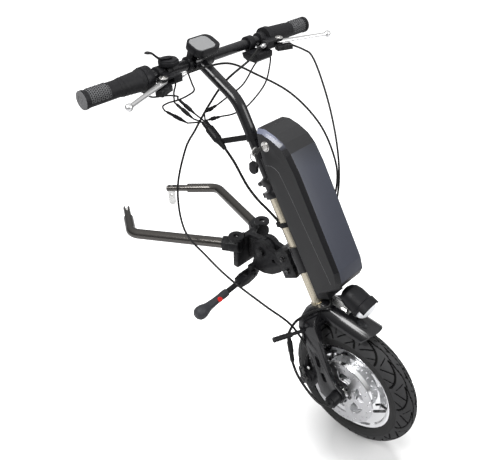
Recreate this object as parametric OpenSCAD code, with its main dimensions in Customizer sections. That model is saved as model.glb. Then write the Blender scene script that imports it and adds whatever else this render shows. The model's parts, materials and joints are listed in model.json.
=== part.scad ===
// Wheelchair power assist: a hub-motor front wheel on a raked steering column, with a handlebar,
// a battery in front of the column and two arms behind it that reach back to the chair.
// Lengths are in millimetres. +X is the way it travels, +Y the rider's left, +Z up.
// The origin is midway between the eyelets of the two arm tabs, where the chair holds the unit.

/* [Wheel] */
// Outer radius of the tyre
tyre_r = 156; // [140:1:170]
// Radius of the tyre's round section
tyre_section = 32; // [28:1:34]
// Radius of the rim where the tyre sits
rim_seat_r = 106; // [100:1:112]
// Height of the rim's flange above the seat
flange_h = 4.6; // [3:0.2:7]
// Half the width between the flanges
bead_half = 22; // [18:1:24]
// Thickness of the rim's flange and barrel
rim_wall = 3.4; // [2:0.2:6]
// Radius of the motor drum
drum_r = 60; // [50:1:70]
// Half the width of the motor drum
drum_half = 36; // [32:1:40]
// Half the width of the wheel's dished web
web_half = 18; // [12:1:22]
// Radius of the brake rotor
rotor_r = 80; // [70:1:90]
// Thickness of the brake rotor
rotor_t = 2.2; // [1.6:0.2:3]
// Radius of the circle of rotor bolts
rotor_bolt_pcr = 22; // [20:1:26]
// Number of rotor bolts
rotor_bolts_n = 6; // [3:1:8]
// Distance from the wheel's middle to the rotor's inner face
rotor_y = 44; // [42:0.5:47]
// Radius of the axle
axle_r = 6; // [5:0.5:8]

/* [Fork] */
// Rake of the steering column from upright, in degrees
lean = 31.6; // [20:0.2:40]
// Distance of the axle ahead of the steering axis
trail = 6.8; // [0:0.2:20]
// Half the gap between the fork blades
fork_half = 55; // [53:0.5:60]
// Thickness of a fork blade
blade_t = 10; // [6:0.5:14]
// Height of the crown's underside on the column above the axle
crown_low = 167; // [160:1:180]
// Thickness of the crown at the column
crown_t = 35; // [25:1:45]
// Half the depth of the crown
crown_half_d = 24; // [18:1:30]
// Width of the slots in the blades
slot_w = 10; // [5:0.5:12]
// Half the width of the mudguard
guard_half = 36; // [33:0.5:42]
// Thickness of the mudguard
guard_t = 2.6; // [1.6:0.2:4]
// Length of the mudguard ahead of the crown
guard_len = 118; // [100:1:130]
// Radius of the side peg
peg_r = 4; // [3:0.25:6]
// Length of the side peg
peg_len = 74; // [50:1:100]

/* [Column] */
// Radius of the column tube
column_r = 16.8; // [14:0.1:19]
// Length of the column tube above the crown
column_len = 256; // [230:1:280]
// Radius of the stem's tube
stem_r = 12.7; // [11:0.1:14]
// Wall of the column and the stem
tube_wall = 2; // [1.5:0.1:3]
// Height on the column where the stem starts to bend
bend_s = 648; // [620:1:680]
// Radius of the stem's bend
bend_r = 80; // [60:1:110]
// Angle of the stem's bend, in degrees
bend_deg = 32; // [20:1:40]
// Straight length of the stem from its bend to the handlebar's axis
stem_reach = 103; // [90:1:120]
// Radius of the handlebar
bar_r = 11.1; // [10:0.1:13]
// Length of the handlebar
bar_len = 616; // [560:2:680]
// Distance of the handlebar's middle to the rider's left of the stem
bar_shift = 27; // [0:1:40]

/* [Controls] */
// Radius of the grips
grip_r = 17; // [14:0.25:19]
// Length of the fixed half grip on the right
half_grip_len = 73; // [50:1:80]
// Length of the twist throttle
twist_len = 56; // [45:1:70]
// Length of the throttle housing
housing_len = 18; // [14:1:28]
// Radius of the throttle housing
housing_r = 24.5; // [20:0.5:27]
// Length of the left grip
left_grip_len = 120; // [95:1:130]
// Depth of the display along the way of travel
display_d = 48; // [40:1:60]
// Width of the display
display_w = 66; // [56:1:80]
// Height of the display
display_h = 15; // [10:0.5:20]
// Length of a brake lever from its pivot to its ball
lever_len = 126; // [100:1:135]
// Radius of a brake lever's ball
lever_ball_r = 7.5; // [6:0.25:9]
// Radius of the bell's body
bell_r = 21; // [17:0.5:25]

/* [Battery] */
// Height of the pack's lower rear edge on the column
pack_low = 240; // [232:1:250]
// Height of the pack's top on the column
pack_top = 608; // [580:1:625]
// Half the width of the pack
pack_half = 44; // [38:0.5:50]
// Distance of the pack's back from the column axis
pack_back = 46; // [42:0.5:50]
// Distance of the pack's front from the column axis
pack_front = 130; // [115:1:140]
// Width of the chamfer round the pack's sides
pack_chamfer = 8; // [6:0.5:12]
// Half the width of the rail
rail_half = 24; // [20:0.5:34]
// Radius of the lock on the pack
lock_r = 8; // [6:0.25:10]

/* [Hitch] */
// Radius of the eyes in the hitch's ears
eye_r = 6.6; // [5:0.2:8]
// Radius of the ears
ear_r = 18; // [15:0.5:22]
// Height of the ears' top above the cross plate
ear_t = 12; // [10:0.5:16]
// Thickness of an ear
ear_lug = 6; // [4:0.5:8]
// Half the distance between the eyes
eye_half = 42.6; // [38:0.2:50]
// Thickness of the cross plate
plate_t = 14; // [10:0.5:18]
// Height of the cross plate
plate_h = 76; // [60:1:90]
// Half the thickness of the centre web
web_t = 7; // [5:0.5:9]
// Radius of the pivot bolt
pivot_r = 6; // [5:0.25:8]
// Thickness of a cheek of the front block
cheek_t = 13; // [9:0.5:16]
// Wall of the head sleeve
sleeve_wall = 4.2; // [3:0.2:6]
// Length of the head sleeve
sleeve_len = 60; // [50:1:70]
// Height of the head sleeve's foot on the column
sleeve_low = 283; // [276:1:292]

/* [Arms] */
// Radius of an arm's tube
arm_r = 12.7; // [11:0.1:14]
// Radius of an arm's inner tube
tip_r = 9; // [7.5:0.1:10]
// Half the distance between the two sockets
socket_half = 42; // [38:0.5:48]
// Droop of the arms, in degrees
arm_droop = 9.6; // [0:0.2:20]
// Splay of the arms' front stretch, in degrees
arm_splay = 21.8; // [10:0.2:30]
// Angle of the arms' rear stretch, inwards, in degrees
arm_tuck = 30; // [10:0.5:40]
// Length of the front stretch to the bend's corner
arm_front_len = 285; // [240:1:320]
// Length of the rear stretch from the bend's corner to the tab's pin
arm_rear_len = 140; // [120:1:170]
// Radius of the bend in an arm
arm_bend_r = 45; // [35:1:60]
// Length of the outer tube past the bend's corner
arm_tube_end = 88; // [75:1:100]
// Width of a tab
tab_w = 20; // [16:0.5:24]
// Thickness of a tab
tab_t = 6; // [4:0.25:8]
// Distance of a tab's eyelet below its pin
tab_drop = 21; // [17:0.5:26]
// Radius of a tab's eyelet
tab_eye_r = 4.2; // [3:0.1:5]
// Length of a tab below its pin
tab_len = 55; // [45:1:65]
// Radius of a tab's pin
tab_pin_r = 3; // [2.5:0.1:4]

/* [Lock lever] */
// Radius of the lever's shaft
shaft_r = 6.5; // [5:0.25:8]
// Length of the lever from its pin to the end of its grip
lock_len = 180; // [150:1:210]
// Length of the moulded grip
lock_grip_len = 96; // [80:1:110]
// Radius of the grip's round end
lock_bulb_r = 16; // [13:0.5:18]
// Radius of the red button
button_r = 5.5; // [4:0.25:7]

/* [Hidden] */
$fn = 64;
run_gap = 0.05;
seat_gap = 0.1;
slide_gap = 0.4;
big = 400;
round_fn = 32;
weld = 1.5;
stub = 4;

// Column axis: heights run up the column from the point nearest the axle
crown_top = crown_low + crown_t;
column_top = crown_top + column_len;
stem_foot = column_top - 60;
bar_s = bend_s + bend_r * sin(bend_deg) + stem_reach * cos(bend_deg);
bar_d = -bend_r * (1 - cos(bend_deg)) - stem_reach * sin(bend_deg);
sleeve_r = column_r + run_gap + sleeve_wall;
sleeve_top = sleeve_low + sleeve_len;
block_mid = sleeve_low + sleeve_len / 2;

// Hitch: the pivot bolt, the cross plate behind it and the sockets on the plate
pivot_x = -272;
pivot_z = 232;
plate_x = -335;
plate_top = 250;
plate_low = plate_top - plate_h;
plate_half = eye_half + 4;
eye_x = plate_x + 7;
arm_z = 234;
cheek_in = web_t + slide_gap;
cheek_out = cheek_in + cheek_t;
cheek_r = 27;

// Arms: corner of the bend and the tab's pin, in the arms' own plane
corner_x = arm_front_len * cos(arm_splay);
corner_y = socket_half + arm_front_len * sin(arm_splay);
pin_x = corner_x + arm_rear_len * cos(arm_tuck);
pin_y = corner_y - arm_rear_len * sin(arm_tuck);
bend_tan = arm_bend_r * tan((arm_splay + arm_tuck) / 2);
hitch_x = plate_x - pin_x * cos(arm_droop);
hitch_z = arm_z - pin_x * sin(arm_droop) - tab_drop;

// Places along the handlebar, from its middle
bar_half = bar_len / 2;
twist_out = bar_half - half_grip_len - slide_gap;
twist_in = twist_out - twist_len;
housing_out = twist_in - slide_gap;
housing_in = housing_out - housing_len;
perch_w = 16;
perch_gap = 18;
perch_y = housing_in - perch_gap - perch_w / 2;
left_collar_len = 19;
left_gap = 3;
left_perch_y = bar_half - left_grip_len - left_collar_len - left_gap - perch_w / 2;
perch_reach = 40;
perch_in = 14;
perch_r = 16;
pivot_step = 20;
lever_out = 22;
lever_t = 7;
lever_gap = 0.5;
lever_pin_r = 3;
bell_x = 8;
bell_y = -114;

// Frames: everything is drawn from the axle, then set on the hitch
module held() {
  translate([-hitch_x, 0, -hitch_z])
    children();
}

module on_column() {
  translate([-trail * cos(lean), 0, -trail * sin(lean)])
    rotate([0, -lean, 0])
      children();
}

module on_bar() {
  on_column()
    translate([bar_d, 0, bar_s])
      rotate([0, lean, 0])
        children();
}

// Controls are set from the handlebar's own middle
module on_controls() {
  on_bar()
    translate([0, bar_shift, 0])
      children();
}

// Arms' plane: x runs back along the arms, y outwards, z down
module on_arm(side) {
  mirror([0, side < 0 ? 1 : 0, 0])
    translate([plate_x, 0, arm_z])
      rotate([0, 180 - arm_droop, 0])
        children();
}

// Tab's frame: at its pin, x across the tab along the tube, z up
module on_tab(side) {
  mirror([0, side < 0 ? 1 : 0, 0])
    translate([plate_x - pin_x * cos(arm_droop), pin_y, arm_z - pin_x * sin(arm_droop)])
      rotate([0, 0, arm_tuck])
        children();
}

// Simple shapes
module along_y(r, y0, y1) {
  translate([0, y0, 0])
    rotate([-90, 0, 0])
      cylinder(r = r, h = y1 - y0);
}

module along_x(r, x0, x1) {
  translate([x0, 0, 0])
    rotate([0, 90, 0])
      cylinder(r = r, h = x1 - x0);
}

module box(x0, x1, y0, y1, z0, z1) {
  translate([x0, y0, z0])
    cube([x1 - x0, y1 - y0, z1 - z0]);
}

// A side view in x and z, given thickness along y
module side_view(y0, y1) {
  translate([0, y1, 0])
    rotate([90, 0, 0])
      linear_extrude(height = y1 - y0)
        children();
}

module slot(len, w) {
  square([len - w, w], center = true);
  translate([-(len - w) / 2, 0])
    circle(d = w);
  translate([(len - w) / 2, 0])
    circle(d = w);
}

module rounded(w, h, r) {
  square([w - 2 * r, h], center = true);
  square([w, h - 2 * r], center = true);
  for (x = [-1, 1], y = [-1, 1])
    translate([x * (w / 2 - r), y * (h / 2 - r)])
      circle(r = r);
}

// Round tube swept along a route's points: a smooth curve, with the first and last stretch left straight
function unit(v) = v / norm(v);
function curve(a, b, c, d, t) =
    0.5 * (2 * b + (c - a) * t + (2 * a - 5 * b + 4 * c - d) * t * t + (3 * b - a - 3 * c + d) * t * t * t);
function smooth(p, n) = [
    p[0],
    for (i = [1 : len(p) - 3], k = [0 : n - 1])
      curve(p[i - 1], p[i], p[i + 1], p[i + 2], k / n),
    p[len(p) - 2],
    p[len(p) - 1]];
function heading(q, i) = unit(q[min(i + 1, len(q) - 1)] - q[max(i - 1, 0)]);
function ring(c, t, ref, r, m) =
    let (u = unit(cross(t, ref)), w = cross(u, t))
    [for (k = [0 : m - 1]) c + r * (cos(360 * k / m) * u + sin(360 * k / m) * w)];
module tube(p, r, n = 3, m = 8, ref = [0, 0, 1]) {
  q = smooth(p, n);
  rows = len(q);
  points = [for (i = [0 : rows - 1]) each ring(q[i], heading(q, i), ref, r, m)];
  sides = [for (i = [0 : rows - 2], k = [0 : m - 1], half = [0, 1])
      half == 0 ? [i * m + k, i * m + (k + 1) % m, (i + 1) * m + (k + 1) % m]
          : [i * m + k, (i + 1) * m + (k + 1) % m, (i + 1) * m + k]];
  first = [for (k = [m - 1 : -1 : 0]) k];
  last = [for (k = [0 : m - 1]) (rows - 1) * m + k];
  polyhedron(points, concat([first], sides, [last]), convexity = 6);
}

// Wheel

module tyre() {
  color([0.12, 0.12, 0.12])
    rotate([90, 0, 0])
      rotate_extrude($fn = 128) {
        difference() {
          translate([tyre_r - tyre_section, 0])
            circle(r = tyre_section);
          translate([0, -big / 2])
            square([rim_seat_r + flange_h + 0.4, big]);
        }
        translate([rim_seat_r, -bead_half])
          square([flange_h + 0.6, 2 * bead_half]);
      }
}

// Hub motor and rim in one piece; the rotor's boss is on the rider's right
module rim() {
  flange_r = rim_seat_r + flange_h;
  edge = bead_half + rim_wall;
  color([0.86, 0.87, 0.88])
    rotate([90, 0, 0])
      difference() {
        rotate_extrude($fn = 128)
          polygon([[0, -drum_half - 2], [26, -drum_half - 2], [28, -drum_half], [drum_r - 3, -drum_half],
              [drum_r, -drum_half + 3], [drum_r + 6, -web_half - 6], [drum_r + 22, -web_half],
              [rim_seat_r - 6, -web_half - 2], [rim_seat_r - 3, -edge + 1], [rim_seat_r, -edge],
              [flange_r, -edge],
              [flange_r, -bead_half], [rim_seat_r, -bead_half], [rim_seat_r, bead_half],
              [flange_r, bead_half], [flange_r, edge], [rim_seat_r, edge], [rim_seat_r - 3, edge - 1],
              [rim_seat_r - 6, web_half + 2],
              [drum_r + 22, web_half], [drum_r + 6, web_half + 6], [drum_r, drum_half - 3],
              [drum_r - 3, drum_half], [rotor_bolt_pcr + 9, drum_half], [rotor_bolt_pcr + 7, rotor_y],
              [0, rotor_y]]);
        cylinder(r = axle_r + run_gap, h = big, center = true);
      }
}

module rotor() {
  color([0.75, 0.76, 0.78])
    translate([0, -rotor_y, 0])
      rotate([90, 0, 0])
        difference() {
          cylinder(r = rotor_r, h = rotor_t);
          translate([0, 0, -1])
            cylinder(r = rotor_bolt_pcr - 5, h = rotor_t + 2);
          for (i = [0 : 5])
            rotate(60 * i + 8)
              translate([0, 0, -1])
                rotate_extrude(angle = 40)
                  translate([rotor_bolt_pcr + 12, 0])
                    square([rotor_r - rotor_bolt_pcr - 34, rotor_t + 2]);
          for (i = [0 : 35])
            rotate(10 * i)
              translate([rotor_r - (i % 2 == 0 ? 5 : 11), 0, -1])
                cylinder(r = 2, h = rotor_t + 2);
          for (i = [0 : rotor_bolts_n - 1])
            rotate(360 * i / rotor_bolts_n)
              translate([rotor_bolt_pcr, 0, -1])
                cylinder(r = 2.7, h = rotor_t + 2);
        }
}

// Rotor bolts with their heads on the rotor, and the tyre's valve in the web
module wheel_fittings() {
  valve_r = 3;
  valve_len = 28;
  valve_lean = 76;
  valve_skew = 33;
  color([0.07, 0.07, 0.07]) {
    for (i = [0 : rotor_bolts_n - 1])
      rotate([0, 360 * i / rotor_bolts_n, 0])
        translate([rotor_bolt_pcr, -rotor_y - rotor_t, 0])
          along_y(4.4, -3, 0);
    translate([rim_seat_r - 7, -web_half - 5.2, 0])
      rotate([0, -valve_skew, 0])
        rotate([0, 0, -valve_lean])
          along_y(valve_r, -valve_len, 0);
  }
}

// Axle, fixed in the fork, with a spacer on each side of the hub
module axle() {
  color([0.7, 0.7, 0.72]) {
    along_y(axle_r, -fork_half - blade_t - 17, fork_half + blade_t + 17);
    along_y(axle_r + 5, -fork_half, -rotor_y - rotor_t - 0.8);
    along_y(axle_r + 5, drum_half + 3, fork_half);
  }
}

module axle_nuts() {
  out = fork_half + blade_t;
  bore = axle_r + seat_gap;
  color([0.08, 0.08, 0.08]) {
    difference() {
      union() {
        along_y(axle_r + 9, -out - 3, -out);
        along_y(axle_r + 8, -out - 22, -out - 3);
        along_y(axle_r + 5, -out - 27, -out - 22);
      }
      along_y(bore, -out - 18, 0);
    }
    difference() {
      union() {
        along_y(axle_r + 9, out, out + 3);
        translate([0, out + 3, 0])
          rotate([-90, 0, 0])
            cylinder(r = axle_r + 5.5, h = 10, $fn = 6);
      }
      along_y(bore, 0, big);
    }
  }
}

// Fork and what it carries

module blade_view() {
  top = crown_low + 10;
  polygon([[crown_half_d + 4, top], [20, 130], [13, 60], [16, 26], [trail + 19, 10], [trail + 19, -6],
      [trail + 10, -16], [-4, -19], [-24, -14], [-40, 2], [-37, 40], [-29, 90], [-22, 135],
      [-crown_half_d + 8, top]]);
}

module fork() {
  out = fork_half + blade_t;
  color([0.1, 0.1, 0.1])
    on_column()
      difference() {
        union() {
          rotate([90, 0, 90])
            translate([0, 0, -crown_half_d + 2])
              linear_extrude(height = 2 * crown_half_d)
                polygon([[-out, 140], [-out, crown_low + 10], [-out + 8, crown_low + 21],
                    [-40, crown_low + 29], [-24, crown_top], [24, crown_top], [40, crown_low + 29],
                    [out - 8, crown_low + 21],
                    [out, crown_low + 10], [out, 140], [fork_half, 140], [fork_half - 8, crown_low],
                    [8 - fork_half, crown_low], [-fork_half, 140]]);
          for (side = [-1, 1])
            side_view(side > 0 ? fork_half : -out, side > 0 ? out : -fork_half)
              blade_view();
        }
        translate([trail, 0, 0])
          along_y(axle_r + seat_gap, -big, big);
        side_view(-big, big)
          translate([-7, 88])
            rotate(82)
              slot(30, slot_w);
        side_view(-big, big)
          translate([-9, 47])
            rotate(86)
              slot(24, slot_w);
        translate([0, 0, crown_low + 22])
          cylinder(r = column_r + seat_gap, h = big);
      }
}

// Mudguard's frame: x runs forward along its ridge, and its round section is drawn about x
guard_r = guard_half + 2;

module on_guard() {
  translate([-112, 0, 158])
    rotate([0, 4, 0])
      children();
}

module mudguard() {
  nose = guard_half + 4;
  tip = guard_len + 34;
  color([0.05, 0.05, 0.05])
    difference() {
      union() {
        on_guard()
          intersection() {
            rotate([90, 0, 90])
              linear_extrude(height = tip)
                difference() {
                  circle(r = guard_r);
                  circle(r = guard_r - guard_t);
                  translate([-big / 2, 12 - big])
                    square(big);
                }
            union() {
              box(-1, tip - nose, -guard_r - 1, guard_r + 1, 0, big);
              translate([tip - nose, 0, 0])
                cylinder(r = nose, h = big);
            }
          }
        intersection() {
          on_column()
            box(0, crown_half_d + 18, -14, 14, crown_low + 11, crown_low + 60);
          on_guard()
            along_x(guard_r - 0.5, 0, guard_len);
        }
      }
      on_column()
        box(-big, crown_half_d + 2.2, -big, big, 0, big);
    }
}

// Headlamp's frame: z runs out of the lens
module on_lamp() {
  translate([0, 0, 224])
    rotate([0, 110, 0])
      children();
}

lamp_r = 26;
lamp_pivot = [lamp_r + 8, 0, -32];
lamp_bolt_r = 2.5;

module lamp_body() {
  color([0.07, 0.07, 0.08])
    on_lamp() {
      rotate_extrude()
        polygon([[0, -56], [9, -55], [17, -51], [23, -43], [lamp_r, -31], [lamp_r, -8], [lamp_r + 2.4, -6],
            [lamp_r + 2.4, 0], [lamp_r - 1, 0], [lamp_r - 1, -5], [0, -5]]);
      difference() {
        cylinder(r = lamp_r + 2.4, h = 12);
        translate([0, 0, -1])
          cylinder(r = lamp_r + 0.2, h = 20);
        translate([-10, -big / 2, -1])
          cube([big, big, 30]);
      }
      difference() {
        translate(lamp_pivot)
          union() {
            along_y(6, -3, 3);
            box(-14, 0, -3, 3, -5, 5);
          }
        cylinder(r = lamp_r - 1, h = 120, center = true);
        translate(lamp_pivot)
          along_y(lamp_bolt_r + run_gap, -big, big);
      }
    }
}

module lamp_lens() {
  edge = lamp_r - 1 - 0.15;
  color([0.9, 0.92, 0.95])
    on_lamp()
      translate([0, 0, -4.9])
        rotate_extrude()
          polygon([[0, 0], [edge, 0], [edge, 7], [edge - 1.5, 12], [edge - 5, 16.5], [edge - 11, 20],
              [edge - 18, 22], [0, 22.6]]);
}

// Bright bracket: a foot on the mudguard's ridge, a neck and two ears for the lamp's lug
module lamp_bracket() {
  ear_in = 3 + slide_gap;
  color([0.78, 0.78, 0.78]) {
    difference() {
      union() {
        on_lamp()
          translate(lamp_pivot) {
            for (side = [-1, 1])
              mirror([0, side < 0 ? 1 : 0, 0]) {
                along_y(6, ear_in, ear_in + 3);
                box(0, 16, ear_in, ear_in + 3, -6, 6);
              }
            box(8, 16, -ear_in - 3, ear_in + 3, -6, 6);
          }
        on_guard()
          box(34, 80, -9, 9, guard_r - 3, guard_r + 2.4);
      }
      on_guard()
        along_x(guard_r + 0.1, -1, guard_len + 40);
    }
    on_lamp()
      translate(lamp_pivot)
        along_y(lamp_bolt_r, -ear_in - 6, ear_in + 6);
  }
}

// Rubber-sleeved peg on the right of the crown
module side_peg() {
  color([0.1, 0.1, 0.1])
    on_column()
      translate([-8, -fork_half - blade_t - 0.1, crown_low + 1])
        rotate([0, 0, -14])
          rotate([-14, 0, 0])
            difference() {
              union() {
                along_y(peg_r, -peg_len, 0);
                for (i = [0 : 10])
                  translate([0, -peg_len + 4 * i, 0])
                    along_y(peg_r + (i % 2 == 0 ? 2 : 1.4), -2, 2);
              }
              translate([0, 0, 0])
                rotate([14, 0, 0])
                  rotate([0, 0, 14])
                    box(-big, big, 0, big, -big, big);
            }
}

// Column

module column_tube() {
  color([0.8, 0.79, 0.76])
    on_column()
      difference() {
        union() {
          translate([0, 0, crown_low + 22])
            cylinder(r = column_r, h = column_top - crown_low - 22);
          translate([0, 0, crown_top])
            cylinder(r = column_r + 3, h = 4);
        }
        translate([0, 0, stem_foot - 1])
          cylinder(r = stem_r + seat_gap, h = big);
      }
}

module column_collars() {
  color([0.09, 0.09, 0.09])
    on_column()
      difference() {
        union() {
          translate([0, 0, column_top])
            cylinder(r = column_r + 5.5, h = 15);
          translate([0, 0, column_top + 15])
            cylinder(r = stem_r + 3, h = 30);
          translate([0, 0, column_top + 28])
            cylinder(r = column_r + 3.5, h = 14);
          box(-column_r - 14, 0, -9, 9, column_top + 2, column_top + 13);
          translate([-column_r - 4, 0, column_top + 35])
            along_y(5, -15, 15);
        }
        translate([0, 0, column_top - 1])
          cylinder(r = stem_r + seat_gap, h = 80);
        box(-big, -stem_r, -1, 1, column_top - 1, column_top + 60);
      }
}

module stem() {
  inner = stem_r - tube_wall;
  color([0.08, 0.08, 0.08])
    on_column()
      difference() {
        union() {
          translate([0, 0, stem_foot])
            cylinder(r = stem_r, h = bend_s - stem_foot);
          translate([-bend_r, 0, bend_s])
            rotate([90, 0, 0])
              rotate_extrude(angle = bend_deg)
                translate([bend_r, 0])
                  circle(r = stem_r);
          translate([-bend_r * (1 - cos(bend_deg)), 0, bend_s + bend_r * sin(bend_deg)])
            rotate([0, -bend_deg, 0])
              cylinder(r = stem_r, h = stem_reach);
          translate([0, 0, bend_s - weld])
            cylinder(r = stem_r - weld, h = 2 * weld);
          translate([-bend_r * (1 - cos(bend_deg)), 0, bend_s + bend_r * sin(bend_deg)])
            rotate([0, -bend_deg, 0])
              translate([0, 0, -weld])
                cylinder(r = stem_r - weld, h = 2 * weld);
        }
        translate([bar_d, 0, bar_s])
          along_y(bar_r + 7, -big, big);
        translate([0, 0, stem_foot - 1])
          cylinder(r = inner, h = bend_s - stem_foot - 20);
      }
}

module bar_clamp() {
  color([0.09, 0.09, 0.09])
    on_bar()
      difference() {
        union() {
          along_y(bar_r + 7, -22, 22);
          for (y = [-13, 13])
            translate([0, y, 0])
              rotate([0, -lean - bend_deg, 0])
                translate([bar_r + 4, 0, -11])
                  cylinder(r = 5, h = 22);
        }
        along_y(bar_r + seat_gap, -big, big);
      }
}

module handlebar() {
  color([0.07, 0.07, 0.07])
    on_controls()
      difference() {
        along_y(bar_r, -bar_half, bar_half);
        along_y(bar_r - tube_wall, -bar_half - 1, bar_half + 1);
      }
}

// Grips and controls

module grip_right() {
  color([0.13, 0.13, 0.13])
    on_controls()
      difference() {
        union() {
          along_y(grip_r, -bar_half, -bar_half + half_grip_len);
          along_y(grip_r + 1.2, -bar_half - 4, -bar_half + 2);
        }
        along_y(bar_r + seat_gap, -bar_half, 0);
      }
}

module throttle_twist() {
  flange = grip_r + 6;
  color([0.1, 0.1, 0.1])
    on_controls()
      difference() {
        translate([0, -twist_in, 0])
          rotate([90, 0, 0])
            rotate_extrude()
              polygon([[0, 0], [flange, 0], [flange, 5], [grip_r + 4, 9], [grip_r + 1, twist_len - 4],
                  [grip_r, twist_len], [0, twist_len]]);
        along_y(bar_r + run_gap, -big, big);
      }
}

module throttle_housing() {
  color([0.08, 0.08, 0.08])
    on_controls()
      difference() {
        union() {
          along_y(housing_r, -housing_out, -housing_in);
          box(-12, 12, -housing_out, -housing_in, -housing_r - 3, 0);
        }
        along_y(bar_r + seat_gap, -big, big);
      }
}

module grip_left() {
  whole = left_collar_len + left_grip_len;
  collar = grip_r + 7;
  color([0.12, 0.12, 0.12])
    on_controls()
      difference() {
        translate([0, bar_half - whole, 0])
          rotate([-90, 0, 0])
            rotate_extrude()
              polygon([[0, 0], [collar, 0], [collar, left_collar_len - 6],
                  [grip_r + 4, left_collar_len + 3], [grip_r + 1, left_collar_len + 58],
                  [grip_r, left_collar_len + 60], [grip_r, whole - 2],
                  [grip_r + 1.2, whole - 2], [grip_r + 1.2, whole + 4], [0, whole + 4]]);
        along_y(bar_r + seat_gap, 0, bar_half);
      }
}

// Switch case under each lever: its length and its angle to the bar
paddle_len = 34;
paddle_deg = 20;

// Brake lever's perch: clamp on the bar, body ahead of it, and the fork that holds the lever
module perch() {
  lug = lever_t / 2 + lever_gap;
  difference() {
    union() {
      along_y(perch_r, -perch_w / 2, perch_w / 2);
      translate([0, 0, -lug - 4])
        linear_extrude(height = 2 * lug + 8) {
          translate([0, -perch_w / 2 + 1])
            square([perch_reach, perch_w - 2]);
          translate([perch_reach - 12, -perch_w / 2 - perch_in])
            square([18, perch_w / 2 + perch_in + pivot_step]);
          translate([perch_reach, pivot_step])
            circle(r = 9);
        }
      translate([perch_reach + 4, pivot_step - 6, -lug - 14])
        rotate([0, 0, -paddle_deg])
          box(-8, 8, -4, paddle_len, 0, 11);
    }
    along_y(bar_r + seat_gap, -big, big);
    box(perch_reach - 9.6, big, -2, big, -lug, lug);
  }
  translate([perch_reach, pivot_step, -lug - 2])
    cylinder(r = lever_pin_r, h = 2 * lug + 4);
}

module perch_right() {
  color([0.09, 0.09, 0.09])
    on_controls()
      translate([0, -perch_y, 0])
        mirror([0, 1, 0])
          perch();
}

module perch_left() {
  color([0.09, 0.09, 0.09])
    on_controls()
      translate([0, left_perch_y, 0])
        perch();
}

// Brake lever: boss on the perch's pin, a blade that sweeps out, and a ball
module brake_lever() {
  difference() {
    union() {
      translate([0, 0, -lever_t / 2])
        linear_extrude(height = lever_t) {
          circle(r = 8);
          rotate(-lever_out)
            polygon([[-6.5, 0], [6.5, 0], [8, 22], [6, 55], [4.5, lever_len - 2], [-4.5, lever_len - 2],
                [-6, 55],
                [-7, 22]]);
        }
      rotate([0, 0, -lever_out])
        translate([0, lever_len, 0])
          sphere(r = lever_ball_r);
    }
    cylinder(r = lever_pin_r + run_gap, h = big, center = true);
  }
}

module brake_lever_right() {
  color([0.85, 0.85, 0.86])
    on_controls()
      translate([perch_reach, -perch_y - pivot_step, 0])
        mirror([0, 1, 0])
          brake_lever();
}

module brake_lever_left() {
  color([0.85, 0.85, 0.86])
    on_controls()
      translate([perch_reach, left_perch_y + pivot_step, 0])
        brake_lever();
}

// Barrel adjusters at the inner ends of the perches
module cable_adjusters() {
  step = perch_w / 2 + perch_in;
  color([0.82, 0.82, 0.82])
    on_controls()
      for (end = [[-perch_y + step, 1], [left_perch_y - step, -1]])
        translate([perch_reach - 3, end[0], 0])
          mirror([0, end[1] < 0 ? 1 : 0, 0]) {
            along_y(5.5, 0, 9);
            along_y(3.6, 9, 17);
          }
}

// Bell: a flat round body on a clamp, and its thumb lever
bell_z = bar_r + 6;
bell_h = 11;

module bell_body() {
  color([0.07, 0.07, 0.07])
    on_controls()
      translate([0, bell_y, 0])
        difference() {
          union() {
            along_y(bar_r + 4, -7, 7);
            box(-7, 7, -7, 7, 0, bell_z + 1);
            translate([bell_x, 0, bell_z]) {
              cylinder(r = bell_r, h = bell_h - 3);
              cylinder(r = bell_r - 2.5, h = bell_h);
              cylinder(r = 3, h = bell_h + 5);
            }
          }
          along_y(bar_r + seat_gap, -big, big);
        }
}

module bell_lever() {
  reach = 40;
  rise = 15;
  color([0.06, 0.06, 0.06])
    on_controls()
      translate([bell_x, bell_y, bell_z + bell_h + slide_gap])
        difference() {
          union() {
            cylinder(r = 7, h = 4);
            rotate([0, 0, -14]) {
              rotate([90, 0, -90])
                linear_extrude(height = 9, center = true)
                  polygon([[0, 0.3], [22, 0.3], [reach - 6, rise + 0.2], [reach + 1, rise + 0.2],
                      [reach + 1, rise + 3.6], [reach - 7, rise + 3.6], [20, 3.7], [0, 3.7]]);
              translate([0, -reach, rise])
                cylinder(r = 8, h = 4);
            }
          }
          cylinder(r = 3 + run_gap, h = big, center = true);
        }
}

// Display, tipped forward over the bar on two posts
display_deg = 20;
display_x = 4.5;
display_y = -3;
display_z = 31.4;
post_w = 7;

module on_display() {
  on_bar()
    rotate([0, display_deg, 0])
      translate([display_x, display_y, display_z])
        children();
}

module display_case() {
  gap = 22 + 0.6;
  color([0.08, 0.08, 0.09])
    difference() {
      union() {
        on_display() {
          linear_extrude(height = display_h)
            rounded(display_d, display_w, 16);
          translate([0, 0, -5])
            linear_extrude(height = 6)
              rounded(display_d - 12, display_w - 26, 12);
        }
        on_bar()
          for (y = [2 * display_y - gap - post_w, gap]) {
            translate([0, y, 0])
              along_y(bar_r + 4.5, 0, post_w);
            rotate([0, display_deg, 0])
              box(-5, 8, y + 0.6, y + post_w - 0.6, 2, display_z + 2);
          }
      }
      on_bar()
        along_y(bar_r + seat_gap, -big, big);
      on_display()
        translate([0, -4, display_h - 1.5])
          linear_extrude(height = 5)
            rounded(display_d - 8, display_w - 16, 12);
    }
}

module display_screen() {
  color([0.62, 0.63, 0.63])
    on_display()
      translate([0, -4, display_h - 1.4])
        linear_extrude(height = 1.6)
          rounded(display_d - 8.4, display_w - 16.4, 11.8);
}

// Switch box under the left perch's inner end
switch_y = left_perch_y - 37;
switch_x = 30;
switch_low = 28;
button_x = 6;
button_z = -19;

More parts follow.
